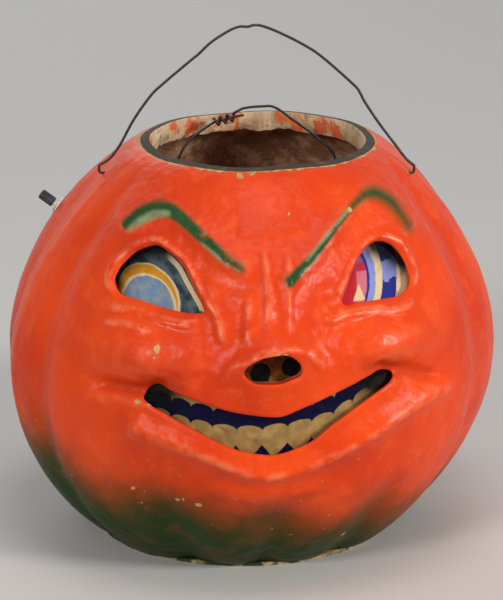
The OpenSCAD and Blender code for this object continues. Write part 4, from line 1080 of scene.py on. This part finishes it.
# Push-button switch
# A small panel switch let into the left shoulder: a moulded body inside the wall, a threaded
# bushing through it, a washer and a hexagon nut outside, and a fluted black button on top.
washer_section = [(3.1, -0.75), (5.4, -0.8), (5.5, -0.7), (5.5, -0.1), (5.38, 0), (3.2, 0),
                  (3.1, -0.08)]
nut_half, flats_from, chamfer_z = 4.5, 3.8, 1.2
nut_section = [(3.1, 0.2), (3.3, 0), (4.3, 0), (4.5, 0.15), (4.5, 0.8), (4.5, 1.3), (4.5, 1.62),
               (4.2, 1.86), (3.95, 1.9), (3.4, 1.9), (3.1, 1.7)]
flute_count, flute_depth, flute_low, flute_high, flute_fade = 12, 0.24, 4.9, 10.4, 0.5
button_section = [(0, 4.1), (2.05, 4.1), (2.3, 4.3), (2.3, 4.9), (2.3, 5.15), (2.3, 5.4),
                  (2.3, 7.6), (2.3, 9.9), (2.3, 10.15), (2.3, 10.4), (2.22, 10.8), (1.95, 11.05),
                  (1.5, 11.15), (0, 11.2)]
spring_turns, spring_r, spring_low, spring_high, spring_keep = 5, 1.7, -11.8, -5.9, 0.77


def threaded(name, outer, inner, depth, pitch, low, high, place, sheet=False, steps=40):
    rows = np.linspace(low, high, int((high - low) / pitch * 8) + 1)
    turn = np.linspace(0, 2 * np.pi, steps, endpoint=False)
    z, w = np.meshgrid(rows, turn, indexing="ij")
    fade = ease((z - low) / pitch) * ease((high - z) / pitch)
    wave = depth * (0.5 - 0.5 * np.cos(2 * np.pi * z / pitch - w)) * fade
    skins = [outer - wave, inner - wave if sheet else inner + 0 * z]
    points = np.vstack([np.stack([r * np.cos(w), r * np.sin(w), z], axis=-1).reshape(-1, 3)
                        for r in skins])
    n, m, half = len(rows), steps, len(rows) * steps
    quads = []
    for i in range(n - 1):
        for j in range(m):
            q = (i * m + j, i * m + (j + 1) % m, (i + 1) * m + (j + 1) % m, (i + 1) * m + j)
            quads += [q, tuple(half + k for k in q[::-1])]
    for i in (0, n - 1):
        quads += [(i * m + j, i * m + (j + 1) % m,
                   half + i * m + (j + 1) % m, half + i * m + j) for j in range(m)]
    mesh = bpy.data.meshes.new(name)
    mesh.from_pydata(points * MM, [], quads)
    piece = bpy.data.objects.new(name, mesh)
    bpy.context.collection.objects.link(piece)
    finish_mesh(piece, 40)
    mesh.transform(place)
    return piece


def hexagon(p):
    out, turn = np.hypot(p[:, 0], p[:, 1]), np.arctan2(p[:, 1], p[:, 0])
    share = np.where(out > flats_from, 1 / np.cos((turn + np.pi / 6) % (np.pi / 3) - np.pi / 6), 1)
    lower = np.where((p[:, 2] > chamfer_z) & (out > flats_from), 0.55 * (share - 1) * nut_half, 0)
    return np.stack([p[:, 0] * share, p[:, 1] * share, p[:, 2] - lower], axis=1)


def fluted(p):
    out, turn = np.hypot(p[:, 0], p[:, 1]), np.arctan2(p[:, 1], p[:, 0])
    ends = ease((p[:, 2] - flute_low) / flute_fade) * ease((flute_high - p[:, 2]) / flute_fade)
    deep = flute_depth * np.maximum(np.cos(flute_count * turn), 0) * ends
    share = 1 - np.where(out > 2.2, deep, 0) / np.maximum(out, 0.1)
    return np.stack([p[:, 0] * share, p[:, 1] * share, p[:, 2]], axis=1)


bushing = threaded("threaded_bushing", 3.0, 1.4, 0.2, 0.75, -4.6, 2.4, switch_place)
washer = turned("plain_washer", washer_section, 64, switch_place, closed=True)
nut = turned("hexagon_nut", nut_section, 96, closed=True)
reshape(nut, hexagon)
nut.data.transform(switch_place)
button = turned("fluted_button", button_section, 96)
reshape(button, fluted)
button.data.transform(switch_place)
turns = np.linspace(0, spring_turns * 2 * np.pi, spring_turns * 20 + 1)
coil = np.stack([spring_r * np.cos(turns), spring_r * np.sin(turns),
                 np.linspace(spring_low, spring_high, len(turns))], axis=1)
spring = bent_wire("return_spring", [coil], 0.2, switch_place, 2)

nickel = two_tone("nickel_plate", 0.003, 4, (0.72, 0.71, 0.68), (0.40, 0.36, 0.30),
                  edges=(0.5, 0.75), gloss=(0.35, 0.08), metallic=1.0)
black_knob = two_tone("black_phenolic", 0.002, 4, (0.012, 0.012, 0.013), (0.05, 0.048, 0.045),
                      edges=(0.5, 0.8), gloss=(0.3, 0.22))
spring_steel = two_tone("drawn_steel", 0.001, 3, (0.36, 0.36, 0.37), (0.60, 0.60, 0.60),
                        gloss=(0.3, 0.15), metallic=1.0)
for piece, body, node, material, slot in (
        (bushing, "pail", "switch_bushing", nickel, "nickel"),
        (washer, "pail", "switch_washer", nickel, "nickel"),
        (nut, "pail", "switch_nut", nickel, "nickel"),
        (button, "button", "push_button", black_knob, "black_knob"),
        (spring, "pail", "button_spring", spring_steel, "spring_steel")):
    piece.data.materials.append(material)
    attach(piece, body)
    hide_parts(node)
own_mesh(spring)

brown_phenolic = two_tone("brown_moulding", 0.005, 5, (0.050, 0.018, 0.008), (0.13, 0.050, 0.020),
                          edges=(0.35, 0.7), depth=0.0001, rough=0.7, roughness=0.35)
white_nylon = two_tone("white_plunger", 0.002, 3, (0.55, 0.52, 0.45), (0.72, 0.70, 0.64),
                       roughness=0.45)
brass = two_tone("tarnished_brass", 0.004, 5, (0.72, 0.50, 0.20), (0.32, 0.20, 0.08),
                 edges=(0.4, 0.7), gloss=(0.4, 0.12), metallic=1.0)
for node, material in (("switch_body", brown_phenolic), ("button_plunger", white_nylon),
                       ("switch_terminals", brass)):
    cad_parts[node].material_slots[0].material = material

# Lamp tray
# A pressed tin tray that stands on the base disc, with a turned-up lip and two ears for the
# lifting loop. Four rivets hold the socket and the battery holder on it.
unit_x = lean_at(body_h)
tray_z, tin_t, ear_x, ear_half, ear_hole, ear_soft, pivot_z = 1.8, 0.8, 36.9, 4.5, 0.73, 0.15, 9.0
floor_z, ear_points = tray_z + tin_t, 64
unit_place = Matrix.Translation((unit_x * MM, 0, 0))
tray_section = [(0, 1.8), (38.4, 1.8), (38.9, 2.1), (39.7, 2.1), (40.2, 1.8), (41.2, 1.8),
                (41.8, 2.0), (42, 2.4), (42, 5.2), (41.88, 5.6), (41.6, 5.8), (41.32, 5.6),
                (41.2, 5.2), (41.2, 3.0), (41.0, 2.7), (40.5, 2.6), (40.2, 2.6), (39.7, 2.9),
                (38.9, 2.9), (38.4, 2.6), (0, 2.6)]
# Rivets: place on the tray, and what each one goes through
rivet_spots = ((-7.75, -21, 5.0), (7.75, -21, 5.0), (-12.125, 15.1, 1.2), (12.125, 15.1, 1.2))


def joined(whole, added):
    if whole is None:
        return added
    bpy.ops.object.select_all(action="DESELECT")
    added.select_set(True)
    whole.select_set(True)
    bpy.context.view_layer.objects.active = whole
    bpy.ops.object.join()
    return whole


tray = turned("tin_tray", tray_section, 120)
turn = np.linspace(0, 2 * np.pi, ear_points, endpoint=False)
c, s = np.cos(turn), np.sin(turn)
out = np.where(s > 0, ear_half, np.minimum(ear_half / np.maximum(np.abs(c), 1e-6),
                                           (pivot_z - floor_z + 0.2) / np.maximum(np.abs(s), 1e-6)))
ear_back = ear_x + tin_t
rings = ((ear_x, ear_hole), (ear_x, out - ear_soft), (ear_x + ear_soft, out),
         (ear_back - ear_soft, out), (ear_back, out - ear_soft), (ear_back, ear_hole))
points = np.vstack([np.stack([0 * c + x, r * c, pivot_z + r * s], axis=1) for x, r in rings])
quads = []
for k in range(len(rings)):
    here, there = k * ear_points, (k + 1) % len(rings) * ear_points
    for j in range(ear_points):
        beside = (j + 1) % ear_points
        quads.append((here + j, here + beside, there + beside, there + j))
for side in (-1, 1):
    mesh = bpy.data.meshes.new("tray_ear")
    mesh.from_pydata(points * (side, 1, 1) * MM, [], quads)
    ear = bpy.data.objects.new("tray_ear", mesh)
    bpy.context.collection.objects.link(ear)
    finish_mesh(ear, 35)
    joined(tray, ear)
tray.data.transform(unit_place)
tinplate, tree, shader = new_material("dull_tinplate", metallic=1.0)
spot = add(tree, "ShaderNodeTexCoord").outputs["Object"]
dull = cloud(tree, spot, 0.010, 5, 0.65)
colour = mix(tree, between(tree, dull, 0.4, 0.7), (0.62, 0.62, 0.60), (0.38, 0.36, 0.33))
rust = between(tree, cloud(tree, spot, 0.006, 5, 0.7), 0.62, 0.74)
tree.links.new(mix(tree, rust, colour, (0.16, 0.065, 0.025)), shader.inputs["Base Color"])
tree.links.new(maths(tree, "MULTIPLY_ADD", dull, 0.5, 0.12), shader.inputs["Roughness"])
bump(tree, shader, dull, 0.0002)
tray.data.materials.append(tinplate)
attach(tray, "lamp_unit")
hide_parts("lamp_tray")

rivets = None
for x, y, stack in rivet_spots:
    top = floor_z + stack
    rivet_section = [(0, tray_z), (1.1, tray_z), (1.1, top), (1.7, top), (1.7, top + 0.25),
                     (1.4, top + 0.58), (0.75, top + 0.76), (0, top + 0.8)]
    rivet_place = Matrix.Translation(Vector((x + unit_x, y, 0)) * MM)
    rivets = joined(rivets, turned("tray_rivet", rivet_section, 28, rivet_place))
rivet_alloy = two_tone("soft_rivet", 0.002, 4, (0.42, 0.42, 0.42), (0.66, 0.66, 0.66),
                       gloss=(0.4, 0.2), metallic=1.0)
rivets.data.materials.append(rivet_alloy)
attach(rivets, "lamp_unit")
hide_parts("tray_rivets")

# Lamp socket and bulb
# A moulded base riveted to the tray holds a brass screw shell, and the small flashlight bulb
# screws into it: a brass cap, a blown glass globe and a filament on two posts.
lamp_place = Matrix.Translation(Vector((unit_x, -21, 0)) * MM)
thread_depth, thread_pitch, cap_low, cap_top = 0.24, 1.8, 6.4, 15.2
globe_r, globe_in_r, glass_neck, neck_in_r = 7.5, 6.9, 4.3, 3.7
post_r, filament_r, filament_half, filament_z = 0.22, 0.07, 2.15, 26.45
filament_turns, filament_coil_r = 14, 0.3
socket_section = [(0, 2.6), (9.7, 2.6), (10, 2.9), (10, 6.7), (9.75, 7.3), (9.1, 7.6), (6.0, 7.6),
                  (5.65, 7.4), (5.6, 7.1), (5.6, 5.1), (0, 5.1)]
tip_section = [(0, 5.7), (0.8, 5.75), (1.5, 6.0), (1.9, 6.4), (4.3, 6.45), (4.4, 6.7), (0, 6.8)]
socket_base = turned("socket_base", socket_section, 72, lamp_place)
screw_shell = threaded("screw_shell", 5.5, 5.24, thread_depth, thread_pitch, 5.1, 14.6, lamp_place,
                       sheet=True)
cap = threaded("bulb_screw_cap", 4.8, 1.2, thread_depth, thread_pitch, cap_low, cap_top, lamp_place)
joined(cap, turned("solder_tip", tip_section, 40, lamp_place))
globe_mid = cap_top + 4 + math.sqrt(globe_r ** 2 - glass_neck ** 2)


def glass_side(r, neck, down):
    start = math.asin(neck / r)
    arc = [(r * math.sin(k), globe_mid - r * math.cos(k)) for k in np.linspace(start, math.pi, 26)]
    arc[-1] = (0, globe_mid + r)
    line = [(neck, cap_top), (neck, cap_top + 2), (neck, cap_top + 3.4)] + arc
    return line[::-1] if down else line


globe = turned("glass_globe", glass_side(globe_in_r, neck_in_r, True)
               + glass_side(globe_r, glass_neck, False), 64, lamp_place, angle=50)
across = np.linspace(-filament_half, filament_half, 161)
turns = across / (2 * filament_half) * 2 * np.pi * filament_turns
coil = np.stack([across, filament_coil_r * np.cos(turns),
                 filament_z + filament_coil_r * np.sin(turns)], axis=1)
posts = [np.array([(side * 1.6, 0, cap_top), (side * 1.7, 0, 20), (side * 2.1, 0, 25.4),
                   (side * filament_half, 0, 26.6)]) for side in (-1, 1)]
filament = bent_wire("filament_on_posts", posts, post_r, lamp_place, 2)
joined(filament, bent_wire("filament_coil", [coil], filament_r, lamp_place, 1))
bulb_glass, tree, shader = new_material("blown_glass", (0.97, 0.98, 0.97), 0.02)
shader.inputs["Transmission Weight"].default_value = 1.0
shader.inputs["IOR"].default_value = 1.47
spot = add(tree, "ShaderNodeTexCoord").outputs["Object"]
bump(tree, shader, cloud(tree, spot, 0.006, 2), 0.00008)
for piece, node, material, slot in (
        (socket_base, "lamp_socket", brown_phenolic, "brown_phenolic"),
        (screw_shell, "socket_shell", brass, "brass"),
        (cap, "bulb_cap", brass, "brass"), (globe, "bulb_globe", bulb_glass, "bulb_glass"),
        (filament, "bulb_filament", spring_steel, "spring_steel")):
    piece.data.materials.append(material)
    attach(piece, "lamp_unit")
    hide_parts(node)

# Battery holder, cells and contacts
# An open moulded trough riveted to the tray holds two slim dry cells side by side, between thin
# brass plates: two at one end and a bridge across both cells at the other.
holder_low, holder_high = Vector((-24.25, 2.6, 2.6)), Vector((24.25, 27.6, 14.1))
holder_wall, holder_soft, cell_z, jacket_r = 1.2, 0.35, 9.15, 4.85
cell_section = [(0, -22.1), (3.6, -22.25), (4.5, -22.1), (4.8, -21.9), (5.1, -21.95), (5.25, -21.7),
                (5.25, -10), (5.25, 20.9), (5.1, 21.2), (4.7, 21.25), (4.5, 21.0), (2.3, 21.0),
                (1.95, 21.3), (1.9, 22.0), (1.6, 22.25), (0, 22.25)]
plate_t, plate_h, plate_soft, dent_in, dent_depth = 0.7, 7.35, 0.12, 1.6, 0.2


def pick_faces(piece, along):
    edit(piece)
    bpy.ops.mesh.select_mode(type="FACE")
    bpy.ops.mesh.select_all(action="DESELECT")
    bpy.ops.object.mode_set(mode="OBJECT")
    for face in piece.data.polygons:
        face.select = face.normal.dot(along) > 0.9
    bpy.ops.object.mode_set(mode="EDIT")


def soften_edges(piece, width):
    bpy.ops.object.mode_set(mode="OBJECT")
    soften = piece.modifiers.new("soft_edges", "BEVEL")
    soften.width, soften.segments, soften.limit_method = width * MM, 2, "ANGLE"
    bpy.ops.object.modifier_apply(modifier=soften.name)
    finish_mesh(piece, 35)


bpy.ops.object.select_all(action="DESELECT")
bpy.ops.mesh.primitive_cube_add(size=1, location=(holder_low + holder_high) / 2 * MM,
                                scale=(holder_high - holder_low) * MM)
holder = bpy.context.object
holder.name = "battery_trough"
bpy.ops.object.transform_apply()
pick_faces(holder, Vector((0, 0, 1)))
bpy.ops.mesh.inset(thickness=holder_wall * MM)
bpy.ops.mesh.extrude_region_move(TRANSFORM_OT_translate={
    "value": (0, 0, (holder_low.z + holder_wall - holder_high.z) * MM)})
soften_edges(holder, holder_soft)
holder.data.transform(unit_place)
black_holder = two_tone("black_trough", 0.004, 5, (0.018, 0.018, 0.018), (0.07, 0.065, 0.055),
                        edges=(0.45, 0.75), depth=0.0001, roughness=0.5)
holder.data.materials.append(black_holder)
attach(holder, "lamp_unit")
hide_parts("battery_holder")

cells = None
for y, facing in ((9.25, 1), (20.95, -1)):
    place = (Matrix.Translation(Vector((unit_x, y, cell_z)) * MM)
             @ Matrix.Rotation(math.pi / 2 * facing, 4, "Y"))
    cell = turned("dry_cell", cell_section, 48, place)
    for face in cell.data.polygons:
        out = (place.inverted() @ face.center) / MM
        face.material_index = 0 if math.hypot(out.x, out.y) > jacket_r else 1
    cells = joined(cells, cell)
cell_jacket, tree, shader = new_material("paper_jacket", roughness=0.38)
spot = add(tree, "ShaderNodeTexCoord").outputs["Object"]
place = add(tree, "ShaderNodeSeparateXYZ", spot).outputs
scuff = cloud(tree, spot, 0.004, 5)
near = maths(tree, "ABSOLUTE", maths(tree, "SUBTRACT", place[0], unit_x * MM))
colour = mix(tree, between(tree, near, 0.0128, 0.0131), (0.020, 0.040, 0.13), (0.45, 0.16, 0.03))
colour = mix(tree, between(tree, scuff, 0.6, 0.75), colour, (0.36, 0.33, 0.28))
tree.links.new(colour, shader.inputs["Base Color"])
cell_metal = two_tone("cell_metal", 0.003, 4, (0.35, 0.34, 0.33), (0.65, 0.64, 0.62),
                      gloss=(0.4, 0.15), metallic=1.0)
cells.data.materials.append(cell_jacket)
cells.data.materials.append(cell_metal)
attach(cells, "lamp_unit")
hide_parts("battery_cells")

contacts = None
for x, y, w, dent in ((-22.7, 9.25, 7.35, 1), (-22.7, 20.95, 7.35, 1), (22.7, 15.1, 19.05, -1)):
    bpy.ops.object.select_all(action="DESELECT")
    bpy.ops.mesh.primitive_cube_add(size=1, location=Vector((x, y, cell_z)) * MM,
                                    scale=Vector((plate_t, w, plate_h)) * MM)
    plate = bpy.context.object
    plate.name = "brass_contacts"
    bpy.ops.object.transform_apply()
    pick_faces(plate, Vector((dent, 0, 0)))
    bpy.ops.mesh.inset(thickness=dent_in * MM)
    bpy.ops.transform.translate(value=(-dent_depth * dent * MM, 0, 0))
    soften_edges(plate, plate_soft)
    contacts = joined(contacts, plate)
contacts.data.transform(unit_place)
contacts.data.materials.append(brass)
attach(contacts, "lamp_unit")
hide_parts("battery_contacts")

# Lift loop
# A second black wire, hooked in the tray's ears, that lifts the lamp out through the rim. Its two
# ends meet near the top and one is twisted three times round the other.
loop_half, loop_rise, loop_lean, twist_r, twist_turns = 38.5, 176.0, 10.447, 1.7, 3
twist_from, twist_to = np.array((-0.26, 0.974)), np.array((-0.5, 0.96))
span = np.array((loop_half, loop_rise))
# The two arms of the loop, in shares of its half width and its rise
loop_left = np.vstack([[(-0.16, 0.978)],
                       twist_from + (twist_to - twist_from) * np.linspace(0, 1, 4)[:, None],
                       [(-0.7, 0.93), (-0.84, 0.9), (-0.92, 0.86), (-0.97, 0.78), (-0.99, 0.6),
                        (-1, 0.3), (-1, 0.1), (-1, 0.03)]])
loop_right = [(1, 0.03), (1, 0.1), (1, 0.3), (0.98, 0.6), (0.95, 0.78), (0.9, 0.87), (0.72, 0.915),
              (0.5, 0.952), (0.38, 0.97), (0.26, 0.99), (0.16, 1), (0.07, 1), (-0.08, 0.998),
              (-0.18, 0.994)]
foot = corner((loop_half, 0), (1, 0), (0, 1), bend_r)
left = np.vstack([in_plane(curve_through(loop_left, 6) * span), in_plane(foot[::-1] * (-1, 1))])
a, b = in_plane(np.array([twist_from * span, twist_to * span]))
along = (b - a) / np.linalg.norm(b - a)
up = np.cross((0, 1, 0), along)
w = np.linspace(0, twist_turns * 2 * np.pi, twist_turns * 24 + 1)[:, None]
twist = a + (b - a) * w / w[-1] + twist_r * (np.cos(w) * up + np.sin(w) * np.array((0, 1, 0)))
right = np.vstack([in_plane(foot), in_plane(curve_through(loop_right, 6) * span), twist])
cross = np.zeros((24, 3))
cross[:, 0] = np.linspace(bend_r - loop_half, loop_half - bend_r, 24)
path = np.vstack([left, cross[1:-1], right])
loop = bent_wire("lifting_loop", [path], wire_r,
                 Matrix.Translation(Vector((unit_x, 0, pivot_z)) * MM)
                 @ Matrix.Rotation(math.radians(-loop_lean), 4, "X"))
loop.data.materials.append(black_wire)
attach(loop, "loop")
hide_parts("lift_loop")
